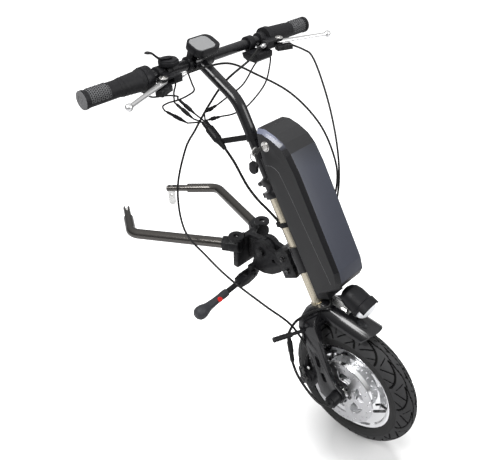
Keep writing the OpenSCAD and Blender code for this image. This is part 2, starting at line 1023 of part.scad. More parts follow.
module switch_box() {
  top = -10;
  color([0.08, 0.08, 0.08])
    on_controls()
      translate([0, switch_y, 0])
        difference() {
          union() {
            along_y(bar_r + 5, -8, 8);
            side_view(-25, 25)
              polygon([[4, -14], [14, top], [switch_x + 20, top], [switch_x + 20, 6 - switch_low],
                  [switch_x + 14, -switch_low], [switch_x - 12, -switch_low], [8, 4 - switch_low]]);
          }
          along_y(bar_r + seat_gap, -big, big);
          translate([button_x, 0, button_z])
            along_x(4 + slide_gap, -12, 7);
        }
}

module horn_button() {
  color([0.6, 0.1, 0.08])
    on_controls()
      translate([button_x, switch_y, button_z])
        along_x(4, -4, 4);
}

// Battery

// Pack's side view, from its lower rear corner forwards and round; then the same view set in by the chamfer
pack_view = [[pack_back, pack_low], [pack_front - 19, pack_low + 12], [pack_front - 6, pack_low + 24],
    [pack_front, pack_low + 50], [pack_front, pack_top - 107], [pack_front - 4, pack_top - 67],
    [pack_front - 12, pack_top - 45], [pack_front - 27, pack_top - 25], [pack_front - 46, pack_top - 7],
    [pack_back + 20, pack_top], [pack_back + 11, pack_top - 28], [pack_back + 5, pack_top - 57],
    [pack_back, pack_top - 107]];
pack_n = len(pack_view);
pack_rear = 4;
function turn(u, w) = u[0] * w[1] - u[1] * w[0];
function edge_in(i) = i >= 1 && i <= 8 ? pack_chamfer : pack_rear;
function edge_way(i) = unit(pack_view[(i + 1) % pack_n] - pack_view[i % pack_n]);
function set_in(i) =
    let (b = (i + pack_n - 1) % pack_n, u = edge_way(b), w = edge_way(i))
    pack_view[i] + (edge_in(b) * w - edge_in(i) * u) / turn(u, w);
pack_inner = [for (i = [0 : pack_n - 1]) set_in(i)];
function at_side(view, y) = [for (p = view) [p[0], y, p[1]]];

module pack_shape() {
  n = pack_n;
  shoulder = pack_half - pack_chamfer;
  points = concat(at_side(pack_inner, -pack_half), at_side(pack_view, -shoulder), at_side(pack_view,
  shoulder),
      at_side(pack_inner, pack_half));
  sides = [for (k = [0 : 2], i = [0 : n - 1], half = [0, 1])
      half == 0 ? [k * n + i, k * n + (i + 1) % n, (k + 1) * n + (i + 1) % n]
          : [k * n + i, (k + 1) * n + (i + 1) % n, (k + 1) * n + i]];
  right = [for (i = [n - 1 : -1 : 0]) i];
  left = [for (i = [0 : n - 1]) 3 * n + i];
  polyhedron(points, concat([right], sides, [left]), convexity = 4);
}

module battery_pack() {
  color([0.2, 0.2, 0.21])
    on_column()
      difference() {
        pack_shape();
        translate([pack_back + 30, 0, pack_top - 38])
          along_y(lock_r + slide_gap, -pack_half - 1, -pack_half + 8);
      }
}

// Rail on the front of the column, with two saddles against the tube and a foot under the pack
module battery_rail() {
  face = pack_back - slide_gap;
  color([0.08, 0.08, 0.08])
    on_column()
      difference() {
        union() {
          box(sleeve_r + 3.5, face, -rail_half, rail_half, pack_low - 4, pack_top - 62);
          box(0, face, -13, 13, pack_low - 18, sleeve_low - 6);
          box(0, face, -13, 13, sleeve_top + 8, column_top - 6);
          box(sleeve_r + 3.5, face + 14, -rail_half, rail_half, pack_low - 18, pack_low - slide_gap);
        }
        cylinder(r = column_r + seat_gap, h = big * 2);
      }
}

// Lock barrel with its key, and the ring and fob that hang on it
key_out = 30;
ring_r = 9;

module on_lock() {
  on_column()
    translate([pack_back + 30, -pack_half, pack_top - 38])
      rotate([0, lean, 0])
        children();
}

module battery_key() {
  color([0.75, 0.74, 0.7])
    on_lock()
      difference() {
        union() {
          along_y(lock_r, -2.5, 7);
          box(-1.2, 1.2, -key_out, 0, -4, 4);
          translate([0, -key_out + 2, 0])
            along_x(9, -1.4, 1.4);
        }
        translate([0, -key_out - 2, -4])
          along_x(2.6, -5, 5);
      }
}

module key_fob() {
  color([0.06, 0.06, 0.06])
    on_lock()
      translate([0, -key_out - 2, -4]) {
        translate([0, 0, -ring_r + 1.6])
          rotate([90, 0, 0])
            rotate_extrude()
              translate([ring_r, 0])
                circle(r = 0.8);
        translate([0, 3.5, -2 * ring_r + 1])
          rotate([90, 0, 0])
            linear_extrude(height = 7)
              translate([0, -12])
                rounded(19, 25, 8);
      }
}

// Hitch and front block

module hitch_plate() {
  front = plate_x + plate_t;
  color([0.2, 0.2, 0.2])
    difference() {
      union() {
        box(plate_x, front, -plate_half, plate_half, plate_low, plate_top);
        for (side = [-1, 1])
          mirror([0, side < 0 ? 1 : 0, 0]) {
            translate([eye_x, eye_half, plate_top + ear_t - ear_lug])
              cylinder(r = ear_r, h = ear_lug);
            box(eye_x + 1, front, eye_half - 22, eye_half + 10, plate_top - 2, plate_top + ear_t);
          }
        side_view(-web_t, web_t)
          polygon([[front - 2, plate_top], [pivot_x - 4, plate_top + 6], [pivot_x, pivot_z],
              [pivot_x - 14, pivot_z - 20],
              [front - 2, plate_low + 6]]);
        translate([pivot_x, 0, pivot_z])
          along_y(cheek_r - 5, -web_t, web_t);
      }
      for (side = [-1, 1])
        translate([eye_x, side * eye_half, plate_top + ear_t - ear_lug - 4])
          cylinder(r = eye_r, h = 40);
      translate([pivot_x, 0, pivot_z])
        along_y(pivot_r + seat_gap, -big, big);
      for (side = [-1, 1])
        on_arm(side)
          translate([0, socket_half, 0])
            rotate([0, 0, arm_splay])
              along_x(arm_r + 6, -40, 40);
    }
}

// Six-sided collars on the back of the cross plate
module arm_sockets() {
  color([0.16, 0.16, 0.16])
    for (side = [-1, 1])
      on_arm(side)
        translate([0, socket_half, 0])
          rotate([0, 0, arm_splay])
            difference() {
              union() {
                along_x(arm_r + 5.9, -16, 9);
                translate([9, 0, 0])
                  rotate([0, 90, 0])
                    cylinder(r = arm_r + 7, h = 17, $fn = 6);
              }
              along_x(arm_r + run_gap, -12, 60);
            }
}

module pivot_bolt() {
  color([0.12, 0.12, 0.12])
    translate([pivot_x, 0, pivot_z]) {
      along_y(pivot_r, -cheek_out, cheek_out);
      along_y(pivot_r + 5, -cheek_out - 7, -cheek_out - slide_gap);
      along_y(pivot_r + 5, cheek_out + slide_gap, cheek_out + 7);
      along_y(pivot_r, -cheek_out - 1, -cheek_out + 1);
      along_y(pivot_r, cheek_out - 1, cheek_out + 1);
    }
}

// Lock lever's pin runs fore and aft under the cheeks
lock_x = -303;
lock_y = -26;
lock_z = 163;
lock_pin_r = 4;
lug_x0 = lock_x + 2;
lug_x1 = lock_x + 14;

module cheek_view() {
  difference() {
    union() {
      polygon([[pivot_x - 20, pivot_z - 16], [pivot_x - 8, pivot_z + 24], [pivot_x + 24, pivot_z + 18],
          [-206, 246],
          [-212, 206], [-236, 186], [-262, 176], [-286, 174], [-300, 182]]);
      translate([pivot_x, pivot_z])
        circle(r = cheek_r);
    }
    translate([-233, 226])
      circle(r = 5);
    translate([pivot_x, pivot_z])
      circle(r = pivot_r + run_gap);
  }
}

module front_block() {
  color([0.24, 0.24, 0.25])
    difference() {
      union() {
        for (side = [-1, 1])
          side_view(side > 0 ? cheek_in : -cheek_out, side > 0 ? cheek_out : -cheek_in)
            cheek_view();
        on_column()
          box(-54, -16, -cheek_out - 2, cheek_out + 2, sleeve_low - 10, sleeve_top - 4);
        box(lug_x0, lug_x1, lock_y - 8, -cheek_in, lock_z - 8, 186);
        translate([0, lock_y, lock_z])
          along_x(8, lug_x0, lug_x1);
      }
      on_column()
        translate([0, 0, sleeve_low - 40])
          cylinder(r = sleeve_r + seat_gap, h = 140);
      translate([pivot_x, 0, pivot_z])
        along_y(pivot_r + 5 + slide_gap, -big, -cheek_out);
      translate([0, lock_y, lock_z])
        along_x(lock_pin_r + seat_gap, lug_x0 - 1, lug_x1 + 1);
    }
}

module head_sleeve() {
  color([0.1, 0.1, 0.1])
    on_column()
      translate([0, 0, sleeve_low])
        difference() {
          cylinder(r = sleeve_r, h = sleeve_len);
          translate([0, 0, -1])
            cylinder(r = column_r + run_gap, h = sleeve_len + 2);
        }
}

// Bolts of the clamp block, and the lock lever's pin
module clamp_bolts() {
  color([0.07, 0.07, 0.07]) {
    on_column()
      for (s = [sleeve_low + 8, sleeve_top - 22])
        translate([-34, 0, s]) {
          along_y(5.5, -cheek_out - 9, -cheek_out - 2.1);
          along_y(5.5, cheek_out + 2.1, cheek_out + 9);
        }
    translate([0, lock_y, lock_z])
      along_x(lock_pin_r, lug_x0 - 9, lug_x1 + 9);
  }
}

// Forked lever on its pin, pointing to the rider's right
module on_lock_lever() {
  translate([0, lock_y, lock_z])
    rotate([6, 0, 0])
      children();
}

module lock_lever() {
  tip = lock_len - lock_grip_len;
  color([0.2, 0.2, 0.2])
    on_lock_lever()
      difference() {
        union() {
          for (x = [lug_x0 - 6, lug_x1 + slide_gap])
            rotate([90, 0, 90])
              translate([0, 0, x])
                linear_extrude(height = 6 - slide_gap)
                  polygon([[9, -4], [6, 8], [-8, 9], [-30, 11], [-44, 7], [-44, -8], [-24, -12],
                      [-4, -10]]);
          box(lug_x0 - 6, lug_x1 + 6, -46, -24, -8, 7);
          translate([lock_x + 8, 0, 0])
            along_y(shaft_r, -tip - 20, -45);
        }
        along_x(lock_pin_r + run_gap, -big, big);
      }
}

module lock_grip() {
  tip = lock_len - lock_grip_len;
  color([0.25, 0.25, 0.25])
    on_lock_lever()
      translate([lock_x + 8, -tip, 0])
        difference() {
          rotate([90, 0, 0])
            rotate_extrude()
              polygon([[0, 0], [9, 0], [9.5, 12], [8.6, 22], [9, 40], [10.5, 58], [13, 66],
                  [lock_bulb_r - 0.6, 74],
                  [lock_bulb_r, 82], [lock_bulb_r - 2, 89], [lock_bulb_r - 7, 94], [0, lock_grip_len]]);
          along_y(shaft_r + seat_gap, -20, 1);
          translate([0, -28, 0])
            rotate([0, 60, 0])
              translate([0, 0, 3])
                cylinder(r = button_r + slide_gap, h = 20);
        }
}

module lock_button() {
  tip = lock_len - lock_grip_len;
  color([0.75, 0.08, 0.07])
    on_lock_lever()
      translate([lock_x + 8, -tip - 28, 0])
        rotate([0, 60, 0])
          translate([0, 0, 6])
            cylinder(r = button_r, h = 5.4);
}

// Arms

module arm(side) {
  turn = arm_splay + arm_tuck;
  lead = arm_front_len - bend_tan;
  on_arm(side)
    translate([0, socket_half, 0])
      rotate([0, 0, arm_splay])
        difference() {
          union() {
            along_x(arm_r, -11.6, lead);
            translate([lead, -arm_bend_r, 0])
              rotate([0, 0, 90 - turn])
                rotate_extrude(angle = turn)
                  translate([arm_bend_r, 0])
                    circle(r = arm_r);
            translate([arm_front_len, 0, 0])
              rotate([0, 0, -turn])
                along_x(arm_r, bend_tan, arm_tube_end);
            along_x(arm_r - weld, lead - weld, lead + weld);
            translate([arm_front_len, 0, 0])
              rotate([0, 0, -turn])
                along_x(arm_r - weld, bend_tan - weld, bend_tan + weld);
          }
          translate([arm_front_len, 0, 0])
            rotate([0, 0, -turn])
              along_x(tip_r + run_gap, bend_tan + 4, big);
          along_x(arm_r - tube_wall - 1, -20, lead - 30);
        }
}

module arm_right() {
  color([0.1, 0.1, 0.1])
    arm(-1);
}

module arm_left() {
  color([0.1, 0.1, 0.1])
    arm(1);
}

// Inner tube with a slotted end and the tab's pin across it
module tip(side) {
  slot_half = tab_t / 2 + slide_gap;
  difference() {
    on_arm(side)
      translate([corner_x, corner_y, 0])
        rotate([0, 0, -arm_tuck])
          along_x(tip_r, bend_tan + 30, arm_rear_len + 12);
    on_tab(side)
      box(-20, 17, -slot_half, slot_half, -30, 30);
  }
  on_tab(side)
    along_y(tab_pin_r, -slot_half - 1, slot_half + 1);
}

module tip_right() {
  color([0.09, 0.09, 0.09])
    tip(-1);
}

module tip_left() {
  color([0.09, 0.09, 0.09])
    tip(1);
}

// Flat eyelet tab, hanging on its pin
module tab(side) {
  on_tab(side)
    rotate([90, 0, 0])
      linear_extrude(height = tab_t, center = true)
        difference() {
          union() {
            circle(d = tab_w - 6);
            translate([-tab_w / 2, -tab_len + tab_w / 2])
              square([tab_w, tab_len - tab_w / 2 - 9]);
            translate([-tab_w / 2 + 3, -12])
              square([tab_w - 6, 12]);
            translate([0, -tab_len + tab_w / 2])
              circle(d = tab_w);
          }
          circle(r = tab_pin_r + run_gap);
          translate([0, -tab_drop])
            circle(r = tab_eye_r);
        }
}

module tab_right() {
  color([0.82, 0.83, 0.82])
    tab(-1);
}

module tab_left() {
  color([0.82, 0.83, 0.82])
    tab(1);
}

// Brake caliper on the right blade; its frame has x pointing out from the axle and z up along the blade
cal_deg = 148;
cal_in = 64;
cal_out = 100;
cal_half = 22;
arm_pin_r = 4;
stop_len = 30;
stop_x = cal_out - 8;
stop_y = -rotor_y - rotor_t - 12;

module on_caliper() {
  on_column()
    translate([trail, 0, 0])
      rotate([0, -cal_deg, 0])
        mirror([0, 0, 1])
          children();
}

module caliper_body() {
  near = rotor_y - 2;
  far = rotor_y + rotor_t + 2;
  color([0.1, 0.1, 0.1]) {
    on_caliper() {
      difference() {
        union() {
          box(cal_in, cal_out, -far - 20, -near + 7, -cal_half, cal_half);
          translate([cal_in + 18, 0, 0])
            along_y(16, -far - 24, -far - 18);
        }
        box(0, rotor_r + 4, -far, -near, -big, big);
        translate([cal_in + 18, 0, 0])
          along_y(arm_pin_r + run_gap, -far - 40, -far - 6);
      }
      translate([stop_x, stop_y, cal_half - 1])
        cylinder(r = 6, h = stop_len - 9);
      translate([stop_x, stop_y, cal_half + 10])
        cylinder(r = 4.4, h = stop_len - 10);
    }
    on_column()
      difference() {
        box(-60, -24, -fork_half + seat_gap, -far - 1, 26, 74);
        translate([trail, 0, 0])
          rotate([0, -cal_deg, 0])
            box(cal_in - 0.1, big, -big, big, -cal_half - 0.1, cal_half + 0.1);
      }
  }
}

module caliper_arm() {
  face = rotor_y + rotor_t + 26 + slide_gap;
  color([0.14, 0.14, 0.14])
    on_caliper()
      translate([cal_in + 18, 0, 0]) {
        along_y(9, -face - 7, -face);
        along_y(arm_pin_r, -face - 1, -face + 16);
        rotate([0, 20, 0]) {
          box(-6, 6, -face - 7, -face - 2, 0, 32);
          translate([0, 0, 32])
            along_y(6, -face - 7, -face - 2);
        }
      }
}

// Points on the column's and the handlebar's frames, for the ends of the cables
function col_pt(d, y, s) =
    [(d - trail) * cos(lean) - s * sin(lean), y, (d - trail) * sin(lean) + s * cos(lean)];
function bar_pt(x, y, z) = col_pt(bar_d, 0, bar_s) + [x, y, z];
function ctl_pt(x, y, z) = bar_pt(x, y + bar_shift, z);
function cal_pt(x, y, z) =
    col_pt(trail + x * cos(cal_deg) + z * sin(cal_deg), y, x * sin(cal_deg) - z * cos(cal_deg));

// Routes of the cables, end to end; each leaves its seat squarely for the length of a stub
function leave(p, way) = [p, p + stub * way];
function reach(p, way) = [p - stub * way, p];
barrel_end = perch_w / 2 + perch_in + 17.1;
paddle_way = [sin(paddle_deg), cos(paddle_deg), 0];
paddle_end = [perch_reach + 4, pivot_step - 6, -lever_t / 2 - lever_gap - 8.5]
    + (paddle_len + 0.1) * paddle_way;
down = [0, 0, -1];
stop_way = cal_pt(0, 0, -1) - cal_pt(0, 0, 0);
brake_route = concat(leave(ctl_pt(perch_reach - 3, left_perch_y - barrel_end, 0), [0, -1, 0]),
    [[-414, 94, 614], [-423, 30, 583], [-460, 12, 523], [-480, -15, 466], [-484, -45, 426], [-480, -80, 337],
    [-434, -106, 258], [-348, -116, 232], [-274, -115, 208], [-184, -102, 180], [-122, -84, 150],
    cal_pt(stop_x, stop_y, cal_half + stop_len + 24)],
    reach(cal_pt(stop_x, stop_y, cal_half + stop_len + 0.1), stop_way));
right_route = concat(leave(ctl_pt(perch_reach - 3, -perch_y + barrel_end, 0), [0, 1, 0]), [[-414, -24, 632],
    [-384, 8, 636], [-352, 44, 614], [-284, 80, 580], [-218, 96, 528], [-172, 94, 466], [-154, 84, 416],
    [-152, 64, 366], [-160, 44, 332]], reach(col_pt(35, rail_half + 0.1, 358), [0, -1, 0]));
left_route = concat(leave(ctl_pt(0, left_perch_y, 0) + paddle_end, paddle_way), [[-386, 241, 606],
    [-352, 228, 604], [-300, 196, 580], [-240, 160, 530], [-192, 130, 466], [-164, 106, 404],
    [-150, 76, 346], [-148, 46, 310]],
    reach(col_pt(35, rail_half + 0.1, 335), [0, -1, 0]));

// Splitter block beside the stem; five leads end on its top
block_top = [-430, -30, 506];
block_end = [-368, -30, 465];
block_dir = unit(block_end - block_top);
function block_pt(deg) =
    block_top - 0.1 * block_dir + 5 * (cos(deg) * [0, 1, 0] + sin(deg) * cross([0, 1, 0], block_dir));

plug_a = [[-458, -72, 562], [-438, -50, 531]];
plug_b = [[-461, -78, 554], [-441, -54, 521]];
plug_c = [[-440, 16, 527], [-450, -6, 516]];
plug_d = [[-424, 10, 507], [-436, -13, 504]];
plug_e = [[-488, -84, 530], [-461, -56, 505]];
plug_m = [[-105, -94, 56], [-127, -85, 116]];

function along(p) = unit(p[1] - p[0]);
function plug_in(p) = reach(p[0], along(p));
function plug_out(p) = leave(p[1], along(p));
function block_in(deg) = reach(block_pt(deg), block_dir);
lead_a = concat(leave(ctl_pt(2, -housing_in - 10, -housing_r - 3.1), down), [[-462, -134, 586],
    [-446, -108, 586], [-444, -86, 578]], plug_in(plug_a));
lead_a2 = concat(plug_out(plug_a), block_in(234));
lead_b = concat(leave(ctl_pt(perch_reach - 8, -perch_y + 14, -8.1), down), [[-440, -92, 604],
    [-450, -90, 584]], plug_in(plug_b));
lead_b2 = concat(plug_out(plug_b), block_in(162));
lead_c = concat(leave(ctl_pt(switch_x, switch_y, -switch_low - 0.1), down), [[-446, 140, 580],
    [-412, 70, 566], [-424, 30, 544]], plug_in(plug_c));
lead_c2 = concat(plug_out(plug_c), block_in(306));
lead_d = concat(leave(ctl_pt(perch_reach - 10, left_perch_y, -8.1), down), [[-434, 182, 598],
    [-414, 158, 584], [-376, 100, 567], [-372, 44, 538], [-396, 26, 518]], plug_in(plug_d));
lead_d2 = concat(plug_out(plug_d), block_in(18));
lead_e = concat(leave(bar_pt(0, 2 * display_y - 22.6 - post_w / 2, -bar_r - 4.6), down), [[-446, -44, 592],
    [-424, -58, 588], [-430, -72, 579], [-442, -88, 571], [-462, -96, 562], [-486, -94, 546]],
    plug_in(plug_e));
lead_e2 = concat(plug_out(plug_e), block_in(90));
main_lead = concat(leave(block_end, block_dir), [[-344, -26, 438], [-312, -22, 394], [-282, -20, 370],
    [-258, -14, 352]],
    reach(col_pt(-column_r - 7, -4, 401.1), col_pt(0, 0, -1) - col_pt(0, 0, 0)));
motor_lead = concat(leave([0, -fork_half - blade_t - 27.1, 0], [0, -1, 0]), [[-16, -102, -3],
    [-50, -100, 4], [-84, -98, 28]], plug_in(plug_m));
motor_lead2 = concat(plug_out(plug_m), [[-122, -66, 150], [-92, -42, 184], [-70, -24, 199]],
    reach(col_pt(pack_back + 6, -10, pack_low - 18.1), col_pt(0, 0, 1) - col_pt(0, 0, 0)));

module brake_cable() {
  color([0.05, 0.05, 0.05])
    tube(brake_route, 2.5, 2, 8, [0, 1, 0.2]);
}

module right_lead() {
  color([0.05, 0.05, 0.05])
    tube(right_route, 2.2, 2, 8, [0.1, 0, 1]);
}

module left_lead() {
  color([0.05, 0.05, 0.05])
    tube(left_route, 2.2, 2, 8, [1, 0, 0.1]);
}

// Thin leads from the controls to the splitter, the main lead below it and the motor's cable
module harness_wires() {
  color([0.05, 0.05, 0.05]) {
    for (p = [lead_a, lead_b, lead_c, lead_d, lead_e])
      tube(p, 1.8, 2, 8, [0.3, -0.5, 1]);
    for (p = [lead_a2, lead_b2, lead_c2, lead_d2, lead_e2])
      tube(p, 1.8, 2, 8, [0, 1, 0.3]);
    tube(main_lead, 3, 2, 8, [0, 1, 0]);
    tube(motor_lead, 3, 2, 8, [0.1, 0.2, 1]);
    tube(motor_lead2, 3, 2, 8, [1, 0.3, 0]);
  }
}

// Turns z to run from one point to another
module between(a, b) {
  v = b - a;
  translate(a)
    rotate([0, acos(v[2] / norm(v)), atan2(v[1], v[0])])
      children();
}

// A plug pair is a slim round body with a thicker middle
module plug(ends, r) {
  h = norm(ends[1] - ends[0]);
  between(ends[0], ends[1])
    rotate_extrude($fn = 32)
      polygon([[0, 0.1], [r - 1, 0.1], [r, 4], [r, h * 0.35], [r + 1.2, h * 0.4], [r + 1.2, h * 0.75],
          [r, h * 0.8],
          [r - 1, h - 0.1], [0, h - 0.1]]);
}

module connectors() {
  color([0.07, 0.07, 0.07]) {
    for (p = [plug_a, plug_b, plug_c, plug_d, plug_e])
      plug(p, 3.2);
    plug(plug_m, 5);
  }
}

module block_shape(more) {
  h = norm(block_end - block_top);
  between(block_top, block_end)
    rotate_extrude($fn = 48)
      polygon([[0, -more], [7.5 + more, -more], [7.5 + more, 14], [10 + more, 18], [10 + more, 46],
          [7 + more, 56],
          [4.5 + more, h - 0.1], [0, h - 0.1]]);
}

module splitter() {
  color([0.08, 0.08, 0.08])
    block_shape(0);
}

// Band round the column, band round the stem, and the tie from the stem to the splitter
strap_s = 390;
tie_s = 586;

module cable_straps() {
  color([0.06, 0.06, 0.06]) {
    on_column()
      difference() {
        union() {
          translate([0, 0, strap_s])
            cylinder(r = column_r + 2.4, h = 11);
          box(-column_r - 11, -column_r + 4, -9, 5, strap_s, strap_s + 11);
        }
        translate([0, 0, strap_s - 10])
          cylinder(r = column_r + seat_gap, h = 60);
        box(0.5, big, -13 - slide_gap, 13 + slide_gap, strap_s - 10, strap_s + 30);
      }
    difference() {
      union() {
        on_column()
          translate([0, 0, tie_s])
            cylinder(r = stem_r + 2, h = 12);
        between(col_pt(0, 0, tie_s + 6), block_top + 54 * block_dir)
          translate([-6, -1.5, 0])
            cube([12, 3, norm(col_pt(0, 0, tie_s + 6) - block_top - 54 * block_dir)]);
      }
      on_column()
        translate([0, 0, stem_foot])
          cylinder(r = stem_r + seat_gap, h = bend_s - stem_foot);
      block_shape(0.2);
    }
  }
}

held() {
  hitch_plate();
  arm_sockets();
  pivot_bolt();
  arm_right();
  arm_left();
  tip_right();
  tip_left();
  tab_right();
  tab_left();
  front_block();
  head_sleeve();
  clamp_bolts();
  lock_lever();
  lock_grip();
  lock_button();
  fork();
  column_tube();
  column_collars();
  stem();
  bar_clamp();
  handlebar();
  grip_right();
  throttle_housing();
  throttle_twist();
  grip_left();
  perch_right();
  perch_left();
  brake_lever_right();
  brake_lever_left();
  cable_adjusters();
  bell_body();
  bell_lever();
  display_case();
  display_screen();
  switch_box();
  horn_button();
  battery_rail();
  battery_pack();
  battery_key();
  key_fob();
  mudguard();
  lamp_bracket();
  lamp_body();
  lamp_lens();
  side_peg();
  axle();
  axle_nuts();
  tyre();
  rim();
  rotor();
  wheel_fittings();
  caliper_body();
  caliper_arm();
  brake_cable();
  right_lead();
  left_lead();
  harness_wires();
  connectors();
  splitter();
  cable_straps();
}
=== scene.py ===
"""Looks of a wheelchair power assist: a hub-motor front wheel with a handlebar, a battery and a hitch.

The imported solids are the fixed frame. This script rounds their edges, adds the tread, the pads of the grips,
the smooth cables and the small screws, and gives every surface its finish.
"""
import json
import logging
import math
from dataclasses import dataclass, field
from enum import Enum, IntEnum
from typing import Any, Callable, Optional, Sequence

import bmesh
import bpy
import numpy as np
from mathutils import Matrix, Vector


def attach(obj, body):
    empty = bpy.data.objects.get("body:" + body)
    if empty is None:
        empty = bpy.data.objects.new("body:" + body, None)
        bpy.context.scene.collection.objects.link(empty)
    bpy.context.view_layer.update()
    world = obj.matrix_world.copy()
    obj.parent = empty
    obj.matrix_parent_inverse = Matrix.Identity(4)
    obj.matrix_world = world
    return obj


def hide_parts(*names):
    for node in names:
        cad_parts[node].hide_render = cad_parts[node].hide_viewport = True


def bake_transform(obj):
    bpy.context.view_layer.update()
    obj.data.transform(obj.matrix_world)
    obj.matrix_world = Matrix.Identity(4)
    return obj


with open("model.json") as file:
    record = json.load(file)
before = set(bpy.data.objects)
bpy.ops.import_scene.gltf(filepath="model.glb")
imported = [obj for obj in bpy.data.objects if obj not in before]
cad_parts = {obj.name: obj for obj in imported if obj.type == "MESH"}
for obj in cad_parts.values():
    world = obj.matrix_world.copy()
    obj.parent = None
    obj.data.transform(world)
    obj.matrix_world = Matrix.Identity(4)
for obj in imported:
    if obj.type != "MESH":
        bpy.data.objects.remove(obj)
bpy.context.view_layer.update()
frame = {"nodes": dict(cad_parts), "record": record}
LOG = logging.getLogger("power_assist")
MM = 0.001
AHEAD, LEFT, UP = Vector((1, 0, 0)), Vector((0, 1, 0)), Vector((0, 0, 1))
WHITE = (1.0, 1.0, 1.0, 1.0)
Triple = tuple[float, float, float]
Profile = tuple[tuple[float, float], ...]
Hold = Callable[[bpy.types.Object], None]


class Place:
    """The part's own frames, in millimetres, as the source has them."""

    LEAN = math.radians(31.6)
    TRAIL = 6.8
    HITCH = Vector((-715.458, 0.0, 148.650))
    BAR = Vector((-470.160, 0.0, 623.891))
    SHIFT = 27.0

    @classmethod
    def axle(cls, x: float, y: float, z: float) -> Vector:
        """A point measured from the axle, in the row frame in metres."""
        return (Vector((x, y, z)) - cls.HITCH) * MM

    @classmethod
    def bar(cls, x: float, y: float, z: float) -> Vector:
        """A point measured from the handlebar where the stem holds it, in the row frame in metres."""
        return (Vector((x, y, z)) + cls.BAR - cls.HITCH) * MM

    @classmethod
    def ctl(cls, x: float, y: float, z: float) -> Vector:
        """A point measured from the middle of the bar's own length, which lies to the left of the stem."""
        return cls.bar(x, y + cls.SHIFT, z)

    @classmethod
    def column(cls, d: float, y: float, s: float) -> Vector:
        """A point d ahead of the steering axis and s up it, in the row frame in metres."""
        c, n = math.cos(cls.LEAN), math.sin(cls.LEAN)
        return cls.axle((d - cls.TRAIL) * c - s * n, y, (d - cls.TRAIL) * n + s * c)

    @classmethod
    def along(cls) -> Vector:
        """Direction up the steering axis."""
        return Vector((-math.sin(cls.LEAN), 0.0, math.cos(cls.LEAN)))

    @classmethod
    def ahead(cls) -> Vector:
        """Direction straight out of the front of the column."""
        return Vector((math.cos(cls.LEAN), 0.0, math.sin(cls.LEAN)))


# Shader nodes


class Socket(Enum):
    """What an input or output of a node group carries."""

    NUMBER = "NodeSocketFloat"
    COLOR = "NodeSocketColor"


class Nodes:
    """A node tree that is filled a node at a time; what feeds a node is a plain value or a socket."""

    def __init__(self, tree: bpy.types.NodeTree) -> None:
        """Keeps the tree."""
        self.tree = tree

    def feed(self, node: bpy.types.Node, values: dict[Any, Any]) -> bpy.types.Node:
        """Gives a node its inputs.

        Args:
            node: The node.
            values: Each input's name or number, and what feeds it.

        Returns:
            The same node.
        """
        for label, value in values.items():
            if isinstance(value, bpy.types.NodeSocket):
                self.tree.links.new(value, node.inputs[label])
            else:
                node.inputs[label].default_value = value
        return node

    def add(self, kind: str, values: dict[Any, Any], **settings: Any) -> bpy.types.bpy_prop_collection:
        """Adds a node.

        Args:
            kind: Its type, without the word that all shader nodes start with.
            values: As for feed.
            settings: Its settings that aren't inputs.

        Returns:
            The node's outputs.
        """
        node = self.tree.nodes.new("ShaderNode" + kind)
        for label, value in settings.items():
            setattr(node, label, value)
        return self.feed(node, values).outputs

    def calc(self, operation: str, a: Any, b: Any, clamp: bool = False) -> bpy.types.NodeSocket:
        """Adds a sum or the like of two values and returns its result."""
        return self.add("Math", {0: a, 1: b}, operation=operation, use_clamp=clamp)[0]

    def mix(self, share: Any, a: Any, b: Any) -> bpy.types.NodeSocket:
        """Adds a mix of two colours and returns its result."""
        return self.add("Mix", {"Factor": share, "A": a, "B": b}, data_type="RGBA")["Result"]

    def span(self, value: Any, low: float, high: float, to_low: Any = 0.0, to_high: Any = 1.0
             ) -> bpy.types.NodeSocket:
        """Adds a node that maps a span of numbers on another span and returns its result."""
        ends = {"From Min": low, "From Max": high, "To Min": to_low, "To Max": to_high}
        return self.add("MapRange", {"Value": value, **ends})[0]


class Group(Nodes):
    """A shared effect: a node group with named inputs and outputs."""

    def __init__(self, name: str, inputs: dict[str, Any], *outputs: str) -> None:
        """Makes an empty group.

        Args:
            name: The group's name.
            inputs: Each input's name and default; a tuple makes a colour.
            outputs: The outputs' names; the one named Color is a colour.
        """
        super().__init__(bpy.data.node_groups.new(name, "ShaderNodeTree"))
        sockets = self.tree.interface
        for label, value in inputs.items():
            kind = Socket.COLOR if isinstance(value, tuple) else Socket.NUMBER
            sockets.new_socket(label, in_out="INPUT", socket_type=kind.value).default_value = value
        for label in outputs:
            kind = Socket.COLOR if label == "Color" else Socket.NUMBER
            sockets.new_socket(label, in_out="OUTPUT", socket_type=kind.value)
        self.given = self.tree.nodes.new("NodeGroupInput").outputs
        self.result = self.tree.nodes.new("NodeGroupOutput")
        self.place = self.add("TexCoord", {})["Object"]

    def noise(self, vector: Any, scale: Any, detail: float, rough: float) -> bpy.types.NodeSocket:
        """Adds a noise over a vector and returns its value."""
        values = {"Vector": vector, "Scale": scale, "Detail": detail, "Roughness": rough}
        return self.add("TexNoise", values)[0]

    def varied(self, noise: bpy.types.NodeSocket) -> bpy.types.NodeSocket:
        """Returns the given roughness, varied by a noise."""
        shift = self.calc("MULTIPLY", self.calc("SUBTRACT", noise, 0.5), self.given["Spread"])
        return self.calc("ADD", self.given["Roughness"], shift, True)

    def turned(self, angle: Any) -> bpy.types.NodeSocket:
        """Returns the place on the part, turned about the axis that runs from right to left."""
        return self.add("VectorRotate", {"Vector": self.place, "Angle": angle}, rotation_type="Y_AXIS")[0]


